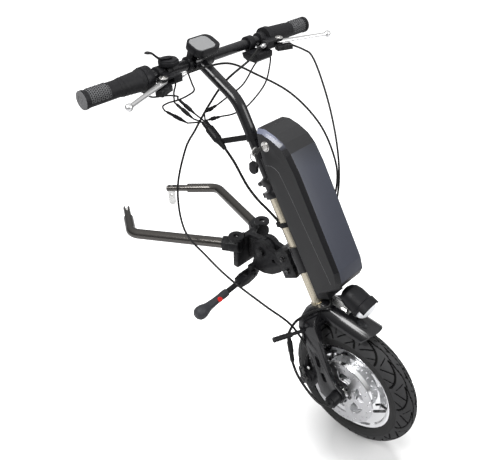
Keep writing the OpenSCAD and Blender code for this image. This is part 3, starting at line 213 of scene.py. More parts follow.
class Effects:
    """The effects that several finishes share, each built once."""

    DARK, LIGHT = (0.1, 0.1, 0.1, 1.0), (0.3, 0.3, 0.3, 1.0)
    BROAD_SCALE = 0.04
    FINE_SHARE = 0.35
    SHARP = (0.52, 0.62)

    def __init__(self) -> None:
        """Builds the groups."""
        self.grain = self._grain()
        self.wear = self._wear()
        self.brushed = self._brushed()
        self.smudge = self._smudge()
        # The fade group paints light: the sheen and shade of the pack's front and the reflection on its band.
        self.fade = self._painted_light_fade()

    def _grain(self) -> Group:
        """Fine moulded or sprayed grain: a roughness that varies and a height for a bump.

        Returns:
            The group.
        """
        fx = Group("surface_grain", {"Scale": 900.0, "Roughness": 0.5, "Spread": 0.1}, "Roughness", "Height")
        fine = fx.noise(fx.place, fx.given["Scale"], 2.0, 0.5)
        broad = fx.noise(fx.place, fx.calc("MULTIPLY", fx.given["Scale"], self.BROAD_SCALE), 4.0, 0.6)
        both = fx.calc("ADD", fx.calc("MULTIPLY", fine, self.FINE_SHARE),
                       fx.calc("MULTIPLY", broad, 1.0 - self.FINE_SHARE))
        fx.feed(fx.result, {"Roughness": fx.varied(both), "Height": fine})
        return fx

    def _wear(self) -> Group:
        """Rubbed edges: the worn colour shows where the surface is sharp and the noise lets it.

        Returns:
            The group.
        """
        fx = Group("edge_wear", {"Color": self.DARK, "Worn": self.LIGHT, "Amount": 0.3, "Scale": 160.0},
                   "Color")
        edge = fx.span(fx.add("NewGeometry", {})["Pointiness"], *self.SHARP)
        gate = fx.calc("GREATER_THAN", fx.noise(fx.place, fx.given["Scale"], 5.0, 0.65), 0.5)
        mask = fx.calc("MULTIPLY", fx.calc("MULTIPLY", edge, gate), fx.given["Amount"], True)
        fx.feed(fx.result, {"Color": fx.mix(mask, fx.given["Color"], fx.given["Worn"])})
        return fx

    def _brushed(self) -> Group:
        """Drawn or turned metal: fine lines that stretch along one direction.

        Returns:
            The group.
        """
        fx = Group("brushed_lines", {"Along X": 1.0, "Along Y": 1.0, "Along Z": 1.0, "Tilt": 0.0,
                                     "Roughness": 0.3, "Spread": 0.15}, "Roughness", "Height")
        stretch = fx.add("CombineXYZ", {axis: fx.given["Along " + axis] for axis in "XYZ"})[0]
        scaled = fx.add("VectorMath", {0: fx.turned(fx.given["Tilt"]), 1: stretch}, operation="MULTIPLY")[0]
        lines = fx.noise(scaled, 1.0, 4.0, 0.7)
        fx.feed(fx.result, {"Roughness": fx.varied(lines), "Height": lines})
        return fx

    def _smudge(self) -> Group:
        """Slow variation of a colour, as handling and moulding leave it.

        Returns:
            The group.
        """
        fx = Group("slow_smudge", {"Color": self.DARK, "Amount": 0.2, "Scale": 30.0}, "Color")
        cloud = fx.calc("SUBTRACT", fx.noise(fx.place, fx.given["Scale"], 5.0, 0.6), 0.5)
        gain = fx.calc("ADD", fx.calc("MULTIPLY", cloud, fx.given["Amount"]), 1.0)
        fx.feed(fx.result, {"Color": fx.add("VectorMath", {0: fx.given["Color"], "Scale": gain},
                                            operation="SCALE")[0]})
        return fx

    def _painted_light_fade(self) -> Group:
        """Painted light: two tones with a soft border that bows across the part, up and down the column,
        standing in for a panel's sheen and shade or a reflection on it.

        Returns:
            The group.
        """
        fx = Group("panel_painted_light", {"Color": self.DARK, "Other": self.DARK, "Level": 0.5, "Soft": 0.05,
                                  "Bow": 0.0}, "Color")
        parts = fx.add("SeparateXYZ", {0: fx.turned(Place.LEAN)})
        bow = fx.calc("MULTIPLY", parts["Y"], fx.given["Bow"])
        above = fx.calc("SUBTRACT", fx.calc("ADD", parts["Z"], bow), fx.given["Level"])
        share = fx.calc("ADD", fx.calc("DIVIDE", above, fx.given["Soft"]), 0.5, True)
        fx.feed(fx.result, {"Color": fx.mix(share, fx.given["Color"], fx.given["Other"])})
        return fx


# Finishes


class Texture(Enum):
    """How a finish breaks up the light."""

    GRAIN = "grain"
    BRUSHED = "brushed"


@dataclass(frozen=True)
class Finish:
    """One finish: its colour, its gloss and the detail of its surface."""

    name: str
    color: Triple
    rough: float = 0.5
    metal: float = 0.0
    coat: float = 0.0
    coat_rough: float = 0.12
    texture: Texture = Texture.GRAIN
    scale: float = 900.0
    spread: float = 0.12
    bump: float = 0.05
    bump_mm: float = 0.1
    worn: Triple = (0.2, 0.2, 0.2)
    wear: float = 0.0
    smudge: float = 0.15
    lines: Triple = (40.0, 2000.0, 2000.0)
    glass: float = 0.0
    glass_ior: float = 1.46
    specular: float = 0.5
    tilt: float = 0.0
    # other, level, soft and bow: a second tone past a bowed level up the column; on the pack's front and band
    # it is painted light.
    other: Optional[Triple] = None
    level: float = 0.5
    soft: float = 0.05
    bow: float = 0.0

    def build(self, fx: Effects) -> bpy.types.Material:
        """Makes the material.

        Args:
            fx: The shared effects.

        Returns:
            The material, ready to put on a mesh.
        """
        material = bpy.data.materials.new(self.name)
        material.use_nodes = True
        nodes = Nodes(material.node_tree)
        shader = nodes.tree.nodes["Principled BSDF"]
        detail = self._detail(nodes, fx)
        nodes.feed(shader, {
            "Base Color": self._tint(nodes, fx), "Roughness": detail["Roughness"], "Metallic": self.metal,
            "Coat Weight": self.coat, "Coat Roughness": self.coat_rough, "Specular IOR Level": self.specular})
        if self.glass:
            nodes.feed(shader, {"Transmission Weight": self.glass, "IOR": self.glass_ior})
        if self.bump:
            rise = {"Strength": self.bump, "Distance": self.bump_mm * MM, "Height": detail["Height"]}
            nodes.feed(shader, {"Normal": nodes.add("Bump", rise)["Normal"]})
        return material

    def _tint(self, nodes: Nodes, fx: Effects) -> bpy.types.NodeSocket:
        """Adds the effects that change the colour.

        Args:
            nodes: The material's tree.
            fx: The shared effects.

        Returns:
            The colour.
        """
        values = {"Color": (*self.color, 1.0), "Amount": self.smudge}
        color = nodes.add("Group", values, node_tree=fx.smudge.tree)["Color"]
        # A second tone past a level: painted sheen and shade on the pack's front, a painted reflection on its
        # band.
        if self.other:
            values = {"Color": color, "Other": (*self.other, 1.0), "Level": self.level, "Soft": self.soft,
                      "Bow": self.bow}
            color = nodes.add("Group", values, node_tree=fx.fade.tree)["Color"]
        if self.wear:
            values = {"Color": color, "Worn": (*self.worn, 1.0), "Amount": self.wear}
            color = nodes.add("Group", values, node_tree=fx.wear.tree)["Color"]
        return color

    def _detail(self, nodes: Nodes, fx: Effects) -> bpy.types.bpy_prop_collection:
        """Adds the grain or the brushed lines.

        Args:
            nodes: The material's tree.
            fx: The shared effects.

        Returns:
            Their outputs.
        """
        values = {"Roughness": self.rough, "Spread": self.spread}
        if self.texture is Texture.GRAIN:
            return nodes.add("Group", {"Scale": self.scale, **values}, node_tree=fx.grain.tree)
        values |= {"Along " + axis: along for axis, along in zip("XYZ", self.lines)}
        return nodes.add("Group", {"Tilt": self.tilt, **values}, node_tree=fx.brushed.tree)


FINISHES = (
    Finish("powder_black", (0.006, 0.006, 0.007), 0.22, coat=0.3, scale=1400, spread=0.06, bump=0.03,
           wear=0.06, worn=(0.07, 0.07, 0.07), specular=0.3),
    Finish("arm_gunmetal", (0.115, 0.109, 0.102), 0.2, metal=1.0, scale=1400, spread=0.06, bump=0.02),
    Finish("cast_black", (0.008, 0.008, 0.009), 0.44, scale=700, spread=0.2, bump=0.3, bump_mm=0.2, wear=0.3,
           worn=(0.09, 0.09, 0.09), specular=0.18),
    Finish("oxide_black", (0.008, 0.008, 0.009), 0.32, metal=0.3, spread=0.16, bump=0.08, wear=0.5,
           worn=(0.2, 0.2, 0.2), specular=0.2),
    Finish("column_satin", (0.62, 0.565, 0.45), 0.26, metal=1.0, texture=Texture.BRUSHED, lines=(420, 420, 4),
           spread=0.34, bump=0.6, bump_mm=0.4, smudge=0.12, tilt=0.5515),
    Finish("rim_polish", (0.93, 0.935, 0.94), 0.12, metal=1.0, spread=0.05, scale=300, bump=0.0, smudge=0.05),
    Finish("lever_polish", (0.84, 0.84, 0.84), 0.3, metal=1.0, spread=0.04, scale=500, bump=0.0, smudge=0.04),
    Finish("zinc_steel", (0.78, 0.78, 0.76), 0.28, metal=1.0, texture=Texture.BRUSHED, lines=(300, 900, 60),
           spread=0.2, bump=0.06),
    Finish("nickel", (0.72, 0.71, 0.69), 0.22, metal=1.0, spread=0.08, scale=600, bump=0.02),
    Finish("rotor_steel", (0.62, 0.62, 0.63), 0.3, metal=1.0, texture=Texture.BRUSHED, lines=(700, 40, 700),
           spread=0.2, bump=0.06),
    # The grooves' rubber is darker than the tread's: painted shade in the grooves.
    Finish("tyre_groove_painted_shade", (0.006, 0.006, 0.006), 0.8, scale=500, spread=0.1, bump=0.1, specular=0.1),
    Finish("tyre_side", (0.018, 0.018, 0.018), 0.55, scale=500, spread=0.16, bump=0.15, bump_mm=0.2,
           smudge=0.3, specular=0.2),
    Finish("tyre_rubber", (0.034, 0.034, 0.035), 0.7, scale=500, spread=0.2, bump=0.25, bump_mm=0.3,
           smudge=0.4, specular=0.2),
    Finish("grip_rubber", (0.010, 0.010, 0.011), 0.56, scale=900, spread=0.16, bump=0.2, bump_mm=0.15,
           smudge=0.3, specular=0.2),
    Finish("pad_grey", (0.095, 0.096, 0.099), 0.6, scale=900, spread=0.14, bump=0.2, smudge=0.2,
           specular=0.25),
    Finish("cap_grey", (0.115, 0.115, 0.118), 0.55, scale=900, spread=0.12, bump=0.15, specular=0.25),
    Finish("cable_sheath", (0.008, 0.008, 0.008), 0.36, scale=1500, spread=0.14, bump=0.06, specular=0.2),
    Finish("moulded_black", (0.007, 0.007, 0.008), 0.42, scale=1100, spread=0.16, bump=0.22, smudge=0.25,
           specular=0.2),
    Finish("moulded_grey", (0.028, 0.029, 0.033), 0.46, scale=1100, spread=0.16, bump=0.2, smudge=0.2,
           specular=0.3),
    Finish("pack_shell", (0.024, 0.024, 0.025), 0.44, scale=1600, spread=0.1, bump=0.14, smudge=0.14,
           wear=0.1, worn=(0.08, 0.08, 0.08), specular=0.2),
    # Painted sheen and shade of the front's dish: blue-grey below a bowed line, dark above it.
    Finish("pack_front", (0.036, 0.039, 0.052), 0.36, scale=1600, spread=0.1, bump=0.1, smudge=0.1,
           specular=0.3, other=(0.020, 0.021, 0.023), level=0.034, soft=0.07, bow=0.35),
    Finish("pack_top", (0.020, 0.020, 0.021), 0.38, scale=1600, spread=0.1, bump=0.1, smudge=0.14,
           specular=0.2),
    # Painted reflection: the black band turns pale blue near its top.
    Finish("pack_band", (0.008, 0.008, 0.009), 0.2, coat=0.2, scale=1600, spread=0.1, bump=0.06,
           specular=0.25, other=(0.13, 0.14, 0.19), level=0.066, soft=0.03),
    Finish("pack_line", (0.12, 0.12, 0.125), 0.4, scale=1600, spread=0.1, bump=0.05),
    Finish("gloss_black", (0.007, 0.007, 0.008), 0.2, coat=0.4, scale=600, spread=0.1, bump=0.03,
           specular=0.3),
    Finish("screen_grey", (0.17, 0.172, 0.175), 0.5, scale=200, spread=0.06, bump=0.0, smudge=0.05,
           specular=0.2),
    Finish("lens_clear", (0.94, 0.95, 0.97), 0.1, scale=200, spread=0.04, bump=0.0, smudge=0.04, glass=0.15),
    Finish("red_gloss", (0.60, 0.014, 0.012), 0.3, coat=0.3, scale=700, spread=0.1, bump=0.05),
)


class Palette:
    """Every finish as a material, by name."""

    def __init__(self) -> None:
        """Builds all materials once."""
        fx = Effects()
        self._made = {finish.name: finish.build(fx) for finish in FINISHES}

    def __getitem__(self, name: str) -> bpy.types.Material:
        """The material of that name."""
        return self._made[name]


# Mesh tools


def ring(sides: int) -> list[tuple[float, float]]:
    """Returns the points of a circle of radius 1."""
    turns = [2 * math.pi * k / sides for k in range(sides)]
    return [(math.cos(a), math.sin(a)) for a in turns]


def skin(rows: int, sides: int, loop: bool = False) -> list[tuple[int, ...]]:
    """Faces over rings of points.

    Args:
        rows: Number of rings.
        sides: Points in a ring.
        loop: Whether the last ring joins the first; otherwise both ends are closed.

    Returns:
        The point numbers of each face.
    """
    faces = []
    for i in range(rows if loop else rows - 1):
        here, there = i * sides, (i + 1) % rows * sides
        for k in range(sides):
            n = (k + 1) % sides
            faces.append((here + k, here + n, there + n, there + k))
    if not loop:
        faces.append(tuple(range(sides - 1, -1, -1)))
        faces.append(tuple((rows - 1) * sides + k for k in range(sides)))
    return faces


def heading(path: Sequence[Vector], i: int) -> Vector:
    """Returns the direction of a path at its point i."""
    return (path[min(i + 1, len(path) - 1)] - path[max(i - 1, 0)]).normalized()


def smooth_route(points: Sequence[Vector], steps: int = 8) -> list[Vector]:
    """A smooth curve through a route, with its two end stretches left straight, as the source draws it.

    Args:
        points: The route.
        steps: Points for each stretch.

    Returns:
        The curve's points.
    """
    out: list[Vector] = [points[0].copy()]
    for i in range(1, len(points) - 2):
        a, b, c, d = points[i - 1 : i + 3]
        for k in range(steps):
            t = k / steps
            out.append(0.5 * (2 * b + (c - a) * t + (2 * a - 5 * b + 4 * c - d) * t * t
                              + (3 * b - a - 3 * c + d) * t * t * t))
    return out + [points[-2].copy(), points[-1].copy()]


def sweep(path: Sequence[Vector], radius: float, sides: int = 14) -> tuple[list, list]:
    """Sweeps a ring along a path without twisting it.

    Args:
        path: Points of the path.
        radius: Radius in millimetres.
        sides: Points in a ring.

    Returns:
        Points and faces.
    """
    verts = []
    side = heading(path, 0).orthogonal().normalized()
    for i, point in enumerate(path):
        ahead = heading(path, i)
        side = (side - ahead * side.dot(ahead)).normalized()
        other = ahead.cross(side)
        verts += [point + radius * MM * (c * side + s * other) for c, s in ring(sides)]
    return verts, skin(len(path), sides)


@dataclass(frozen=True)
class Role:
    """A piece's body, its finish, the record's material slot and the nodes that it stands for."""

    body: str
    finish: str
    slot: str
    replaces: tuple[str, ...] = ()


class Maker:
    """Makes meshes, places them on a body and gives them their finish."""

    SMOOTH = 40.0
    SMOOTH_TURNED = 35.0
    SMOOTH_SWEPT = 50.0
    SMOOTH_ROUNDED = 32.0
    WELD = 1e-6
    FLAT = math.radians(0.5)
    SQUARENESS = 0.8
    BALL_TURNS = np.radians(np.linspace(3, 177, 19))

    def __init__(self, palette: Palette) -> None:
        """Keeps the palette."""
        self.palette = palette
        self.count = 0

    def mesh(self, name: str, verts: Sequence, faces: Sequence, role: Role, smooth: float = SMOOTH,
             hold: Optional[Hold] = None) -> bpy.types.Object:
        """Makes a piece from points and faces.

        Args:
            name: The piece's name.
            verts: Points in the row frame, in metres.
            faces: Lists of point numbers.
            role: What the piece is.
            smooth: Angle in degrees under which edges are shaded smooth.
            hold: What puts it on its bodies, where it doesn't ride on one.

        Returns:
            The new object.
        """
        data = bpy.data.meshes.new(name)
        data.from_pydata([tuple(v) for v in verts], [], [tuple(f) for f in faces])
        data.update()
        return self.dress(self._object(name, data), role, smooth, hold)

    @staticmethod
    def _object(name: str, data: bpy.types.Mesh) -> bpy.types.Object:
        """Puts a mesh in the scene.

        Args:
            name: The object's name.
            data: The mesh.

        Returns:
            The object.
        """
        obj = bpy.data.objects.new(name, data)
        bpy.context.scene.collection.objects.link(obj)
        return obj

    def dress(self, obj: bpy.types.Object, role: Role, smooth: float, hold: Optional[Hold] = None
              ) -> bpy.types.Object:
        """Shades a piece, gives it its finish and puts it on its body.

        Args:
            obj: The piece.
            role, smooth, hold: As for mesh.

        Returns:
            The same piece.
        """
        body, slot, replaces = role.body, role.slot, role.replaces
        obj.data.materials.clear()
        obj.data.materials.append(self.palette[role.finish])
        obj.data.shade_smooth()
        obj.data.set_sharp_from_angle(angle=math.radians(smooth))
        if hold:
            hold(obj)
        else:
            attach(obj, body)
        if replaces:
            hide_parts(*replaces)
        self.count += 1
        LOG.info("piece %s on %s", obj.name, body)
        return obj

    def paint(self, node: str, finish: str) -> None:
        """Gives a node of the solids its finish and leaves its shape alone.

        Args:
            node: The node.
            finish: The finish's name.
        """
        obj = frame["nodes"][node]
        obj.data.materials.clear()
        obj.data.materials.append(self.palette[finish])

    def soften(self, node: str, body: str, finish: str, width: float, steps: int = 2, limit: float = 40.0
               ) -> bpy.types.Object:
        """Makes a copy of a node with rounded edges that stands for it.

        Args:
            node: The node.
            body: Its body.
            finish: The finish's name.
            width: Width of the rounding, in millimetres.
            steps: Number of faces across the rounding.
            limit: Only edges sharper than this angle are rounded.

        Returns:
            The rounded copy.
        """
        work = bmesh.new()
        work.from_mesh(frame["nodes"][node].data)
        bmesh.ops.remove_doubles(work, verts=work.verts, dist=self.WELD)
        bmesh.ops.dissolve_limit(work, angle_limit=self.FLAT, verts=work.verts, edges=work.edges)
        data = bpy.data.meshes.new(node + "_rounded")
        work.to_mesh(data)
        work.free()
        obj = self._object(node + "_rounded", data)
        bevel = obj.modifiers.new("round", "BEVEL")
        bevel.width = width * MM
        bevel.segments = steps
        bevel.limit_method = "ANGLE"
        bevel.angle_limit = math.radians(limit)
        bevel.use_clamp_overlap = True
        bevel.miter_outer = "MITER_ARC"
        bpy.context.view_layer.update()
        made = bpy.data.meshes.new_from_object(obj.evaluated_get(bpy.context.evaluated_depsgraph_get()))
        obj.modifiers.clear()
        obj.data = made
        slot = next(p["material_slot"] for p in frame["record"]["subparts"] if p["node"] == node)
        return self.dress(obj, Role(body, finish, slot, (node,)), self.SMOOTH_ROUNDED)

    def tube(self, name: str, route: Sequence[Vector], radius: float, role: Role, sides: int = 14) -> None:
        """Sweeps a smooth round tube along a route; radius in millimetres, see mesh for the rest."""
        self.mesh(name, *sweep(smooth_route(route), radius, sides), role, self.SMOOTH_SWEPT)

    def lathe(self, name: str, profile: Sequence[tuple[float, float]], origin: Vector, axis: Vector,
              role: Role, sides: int = 64, loop: bool = False) -> None:
        """Turns a profile about an axis.

        Args:
            name: The piece's name.
            profile: Pairs of a radius and a height, in millimetres.
            origin: Where height 0 is.
            axis: The way in which the height runs.
            role: What the piece is.
            sides: Points in a ring.
            loop: Whether the profile closes on itself and leaves a hole along the axis.
        """
        turn = UP.rotation_difference(axis).to_matrix()
        verts = [origin + turn @ (Vector((r * c, r * s, h)) * MM) for r, h in profile for c, s in ring(sides)]
        self.mesh(name, verts, skin(len(profile), sides, loop), role, self.SMOOTH_TURNED)

    def blade(self, name: str, path: Sequence[Vector], sizes: Sequence[tuple[float, float]], flat: Vector,
              role: Role, sides: int = 24) -> None:
        """Sweeps a flattened round section along a path.

        Args:
            name: The piece's name.
            path: Middle of each section, in the row frame.
            sizes: Half width and half height of each section, in millimetres.
            flat: The way in which the width lies.
            role: What the piece is.
            sides: Points in a section.
        """
        verts = []
        for i, (middle, (wide, high)) in enumerate(zip(path, sizes)):
            up = heading(path, i).cross(flat).normalized()
            for point in ring(sides):
                x, y = (math.copysign(abs(v) ** self.SQUARENESS, v) for v in point)
                verts.append(middle + MM * (wide * x * flat + high * y * up))
        self.mesh(name, verts, skin(len(path), sides), role, self.SMOOTH_SWEPT)

    def ball(self, name: str, centre: Vector, radius: float, role: Role) -> None:
        """Makes a ball of a radius in millimetres."""
        profile = [(radius * math.sin(a), -radius * math.cos(a)) for a in self.BALL_TURNS]
        self.lathe(name, profile, centre, UP, role, 32)

    def screw(self, name: str, origin: Vector, axis: Vector, radius: float, height: float, role: Role
              ) -> None:
        """Makes a round screw head with a socket, sitting on a surface.

        Args:
            name: The piece's name.
            origin: Middle of its foot.
            axis: The way in which it stands up.
            radius: Its radius, in millimetres.
            height: Its height, in millimetres.
            role: What the piece is.
        """
        profile = [(radius, -0.2), (radius, height * 0.75), (radius * 0.85, height), (radius * 0.56, height),
                   (radius * 0.52, height * 0.35), (0.2, height * 0.35)]
        self.lathe(name, profile, origin, axis, role, 24)


# Sub-assemblies


class Tread(IntEnum):
    """Which of the tyre's finishes a face has; the groove faces get a darker rubber as painted shade."""

    BLOCK = 0
    GROOVE = 1
    SIDE = 2


@dataclass
class Wheel:
    """Tyre with its tread; the polished hub rim, the rotor and their fittings keep their solids.

    Places round the tyre are shares of one repeat of the tread, and places across it are millimetres from
    its middle. The arc has its reach round, its outer edge and its reach across. A slant has its outer end,
    its span across, its span round and its width. The slit has its place round, its lean, the middle of that
    lean, its span across and its width. The wave has its place across, its rise and its width, the dash its
    length, its span across and its width, and a rib of the side wall its height, its place and its width.
    """

    make: Maker
    ring: float = 124.0
    section: float = 32.0
    bead_r: float = 111.0
    bead_half: float = 22.0
    repeats: int = 15
    columns: int = 58
    points: int = 97
    depth: float = 3.6
    sink: float = 0.5
    shoulder: float = 45.0
    smooth: float = 38.0
    lip: float = 0.6
    wall: float = 0.9
    fade: float = 2.0
    # Faces cut deeper than this share of the groove get the darker rubber: painted shade in the grooves.
    painted_shade_from: float = 0.3
    arc: Triple = (0.84, 44.0, 33.0)
    arc_gain: float = 34.0
    arc_low: float = 8.0
    arc_end: float = 0.9
    arc_width: float = 3.0
    slants: tuple[tuple[float, ...], ...] = ((37, 17, 38, 0.06, 0.62, 1.8), (44, 28, 44, 0.42, 0.8, 1.5))
    slope: float = 44.0
    slope_gain: float = 0.85
    slit: tuple[float, ...] = (0.93, 0.006, 20, 12, 32, 1.5)
    wave: Triple = (6.5, 1.6, 1.6)
    dash: tuple[float, ...] = (20, -3, 4.5, 1.2)
    ribs: tuple[Triple, ...] = ((0.5, 47, 0.9), (0.4, 55, 0.8))

    def groove(self, u: float, v: np.ndarray) -> np.ndarray:
        """Depth of the tread, from 0 to 1.

        Args:
            u: Place round the tyre within one repeat, from 0 to 1.
            v: Places across the tread, in millimetres from its middle.

        Returns:
            Share of the full depth at each place.
        """
        out = np.zeros_like(v)

        def add(away: np.ndarray, width: float, inside: np.ndarray | float) -> None:
            """Cuts a groove of a width, with sloping walls, where inside lets it."""
            np.maximum(out, np.clip((width / 2 + self.lip - away) / self.wall, 0, 1) * inside, out=out)

        def span(w: np.ndarray, low: float, high: float) -> np.ndarray:
            """Returns 1 between two places, fading to 0 at both."""
            return np.clip((w - low) / self.fade, 0, 1) * np.clip((high - w) / self.fade, 0, 1)

        pitch = 2 * math.pi * (self.ring + self.section) / self.repeats
        for side, phase in ((1.0, 0.0), (-1.0, 0.5)):
            w, along = v * side, (phase - u) % 1.0
            far, edge, wide = self.arc
            away = np.abs(np.hypot(along / far, (w - edge) / wide) - 1) * self.arc_gain
            add(away, self.arc_width, span(w, self.arc_low, edge) * (along < self.arc_end))
            for outer, low, high, start, stop, width in self.slants:
                away = np.abs(w - outer + (along - start) * self.slope) * self.slope_gain
                add(away, width, span(w, low, high) * (start < along < stop))
            at, lean, middle, low, high, width = self.slit
            add(np.abs(along - at - lean * (w - middle)) * pitch, width, span(w, low, high))
            at, rise, width = self.wave
            add(np.abs(w - at - rise * math.sin(2 * math.pi * u)), width, 1.0)
        length, low, high, width = self.dash
        half = (u * 2) % 1.0
        add(np.abs(v + length * half - length / 2), width, span(np.abs(v), low, high) * (half < 0.5))
        return out

    def build(self) -> None:
        """Makes the tyre and dresses the wheel's solids."""
        total = self.repeats * self.columns
        reach = math.acos((self.bead_r - self.ring) / self.section)
        phi = np.linspace(-reach, reach, self.points)
        v = self.section * phi
        between = v + self.section * (phi[1] - phi[0]) / 2
        rib = sum(high * np.exp(-((np.abs(v) - at) / wide) ** 2) for high, at, wide in self.ribs)
        rows = self.points + 2
        verts, faces, tone = [], [], []
        for c in range(total):
            theta, n = 2 * math.pi * c / total, (c + 1) % total
            r = self.section - self.sink - self.depth * self.groove((c / self.columns) % 1.0, v) + rib
            radial = np.concatenate(([self.bead_r], self.ring + r * np.cos(phi), [self.bead_r]))
            across = np.concatenate(([-self.bead_half], r * np.sin(phi), [self.bead_half]))
            verts += [Place.axle(a * math.cos(theta), b, a * math.sin(theta)) for a, b in zip(radial, across)]
            cut = np.concatenate(([0.0], self.groove(((c + 0.5) / self.columns) % 1.0, between), [0.0]))
            for i in range(rows - 1):
                faces.append((c * rows + i, c * rows + i + 1, n * rows + i + 1, n * rows + i))
                side = not 2 <= i < rows - 3 or abs(v[i]) > self.shoulder
                # Deeply cut faces take the darker groove rubber, painted shade in the grooves.
                tone.append(Tread.GROOVE if cut[i] > self.painted_shade_from else Tread.SIDE if side else Tread.BLOCK)
            faces.append((c * rows + rows - 1, c * rows, n * rows, n * rows + rows - 1))
            tone.append(Tread.SIDE)
        role = Role("wheel", "tyre_rubber", "tyre_rubber", ("tyre",))
        tyre = self.make.mesh("tyre_tread", verts, faces, role, self.smooth)
        for name in ("tyre_groove_painted_shade", "tyre_side"):
            tyre.data.materials.append(self.make.palette[name])
        tyre.data.polygons.foreach_set("material_index", np.array(tone, dtype=np.int32))
        self.make.paint("rim", "rim_polish")
        self.make.paint("rotor", "rotor_steel")
        self.make.paint("wheel_fittings", "oxide_black")


@dataclass
class Cables:
    """Smooth cables along the source's routes; each stands for its plain solid.

    The places with a d are ahead of the steering axis.
    """

    make: Maker
    sheath: float = 2.5
    lead: float = 2.2
    wire: float = 1.8
    thick: float = 3.0
    stub: float = 4.0
    fixed_d: float = -46.0
    split_d: float = -152.0
    slack_d: float = -222.0
    give_top_d: float = -150.0
    give_low_d: float = -125.0
    caliper_deg: float = 148.0
    paddle_deg: float = 20.0
    block_r: float = 5.0

    def _leave(self, p: Vector, way: Vector) -> list[Vector]:
        """The straight start of a route."""
        return [p, p + self.stub * MM * way.normalized()]

    def _reach(self, p: Vector, way: Vector) -> list[Vector]:
        """The straight end of a route."""
        return [p - self.stub * MM * way.normalized(), p]

    def _caliper(self, out: float, y: float, up: float) -> Vector:
        """A point measured from the axle in the caliper's own directions, which lean back."""
        a = math.radians(self.caliper_deg)
        return Place.column(Place.TRAIL + out * math.cos(a) + up * math.sin(a), y,
                            out * math.sin(a) - up * math.cos(a))

    def routes(self) -> dict[str, tuple[float, list[Vector]]]:
        """Lays out the cables.

        Returns:
            Radius and route of every cable, by piece name.
        """
        x, c, k = Place.axle, Place.column, Place.ctl
        leave, reach, cal = self._leave, self._reach, self._caliper
        top, end = Vector((-430, -30, 506)), Vector((-368, -30, 465))
        run = (end - top).normalized()
        plug = {"a": (x(-458, -72, 562), x(-438, -50, 531)), "b": (x(-461, -78, 554), x(-441, -54, 521)),
                "c": (x(-440, 16, 527), x(-450, -6, 516)), "d": (x(-424, 10, 507), x(-436, -13, 504)),
                "e": (x(-488, -84, 530), x(-461, -56, 505)), "m": (x(-105, -94, 56), x(-127, -85, 116))}

        def block(deg: float) -> list[Vector]:
            """The end of a wire in the splitter block, at an angle round its middle."""
            a = math.radians(deg)
            spoke = self.block_r * (math.cos(a) * LEFT + math.sin(a) * LEFT.cross(run))
            return reach(x(*(top - 0.1 * run + spoke)), run)

        def into(name: str) -> list[Vector]:
            """The end of a wire in a plug."""
            return reach(plug[name][0], plug[name][1] - plug[name][0])

        def outof(name: str) -> list[Vector]:
            """The start of a wire in a plug."""
            return leave(plug[name][1], plug[name][1] - plug[name][0])

        slant = math.radians(self.paddle_deg)
        paddle = Vector((math.sin(slant), math.cos(slant), 0))
        return {
            "brake_cable_smooth": (self.sheath, leave(k(37, 118.9, 0), -LEFT) + [
                x(-414, 94, 614), x(-423, 30, 583), x(-460, 12, 523), x(-480, -15, 466), x(-484, -45, 426),
                x(-480, -80, 337), x(-434, -106, 258), x(-348, -116, 232), x(-274, -115, 208),
                x(-184, -102, 180), x(-122, -84, 150), cal(92, -58.2, 76)]
                + reach(cal(92, -58.2, 52.1), cal(0, 0, -1) - cal(0, 0, 0))),
            "right_lead_smooth": (self.lead, leave(k(37, -95.1, 0), LEFT) + [
                x(-414, -24, 632), x(-384, 8, 636), x(-352, 44, 614), x(-284, 80, 580), x(-218, 96, 528),
                x(-172, 94, 466), x(-154, 84, 416), x(-152, 64, 366), x(-160, 44, 332)]
                + reach(c(35, 24.1, 358), -LEFT)),
            "left_lead_smooth": (self.lead, leave(k(44, 172, -12.5) + 34.1 * MM * paddle, paddle) + [
                x(-386, 241, 606), x(-352, 228, 604), x(-300, 196, 580), x(-240, 160, 530), x(-192, 130, 466),
                x(-164, 106, 404), x(-150, 76, 346), x(-148, 46, 310)] + reach(c(35, 24.1, 335), -LEFT)),
            "wire_throttle": (self.wire, leave(k(2, -170.2, -27.6), -UP) + [
                x(-462, -134, 586), x(-446, -108, 586), x(-444, -86, 578)] + into("a")),
            "wire_throttle_end": (self.wire, outof("a") + block(234)),
            "wire_right": (self.wire, leave(k(32, -120.2, -8.1), -UP) + [
                x(-440, -92, 604), x(-450, -90, 584)] + into("b")),
            "wire_right_end": (self.wire, outof("b") + block(162)),
            "wire_switch": (self.wire, leave(k(30, 121, -28.1), -UP) + [
                x(-446, 140, 580), x(-412, 70, 566), x(-424, 30, 544)] + into("c")),
            "wire_switch_end": (self.wire, outof("c") + block(306)),
            "wire_left": (self.wire, leave(k(30, 158, -8.1), -UP) + [
                x(-434, 182, 598), x(-414, 158, 584), x(-376, 100, 567), x(-372, 44, 538), x(-396, 26, 518)]
                + into("d")),
            "wire_left_end": (self.wire, outof("d") + block(18)),
            "wire_display": (self.wire, leave(Place.bar(0, -32.1, -15.7), -UP) + [
                x(-446, -44, 592), x(-424, -58, 588), x(-430, -72, 579), x(-442, -88, 571), x(-462, -96, 562),
                x(-486, -94, 546)] + into("e")),
            "wire_display_end": (self.wire, outof("e") + block(90)),
            "main_lead": (self.thick, leave(x(*end), run) + [
                x(-344, -26, 438), x(-312, -22, 394), x(-282, -20, 370), x(-258, -14, 352)]
                + reach(c(-23.8, -4, 401.1), -Place.along())),
            "motor_lead": (self.thick, leave(x(0, -92.1, 0), -LEFT) + [
                x(-16, -102, -3), x(-50, -100, 4), x(-84, -98, 28)] + into("m")),
            "motor_lead_top": (self.thick, outof("m") + [
                x(-122, -66, 150), x(-92, -42, 184), x(-70, -24, 199)]
                + reach(c(52, -10, 221.9), Place.along())),
        }

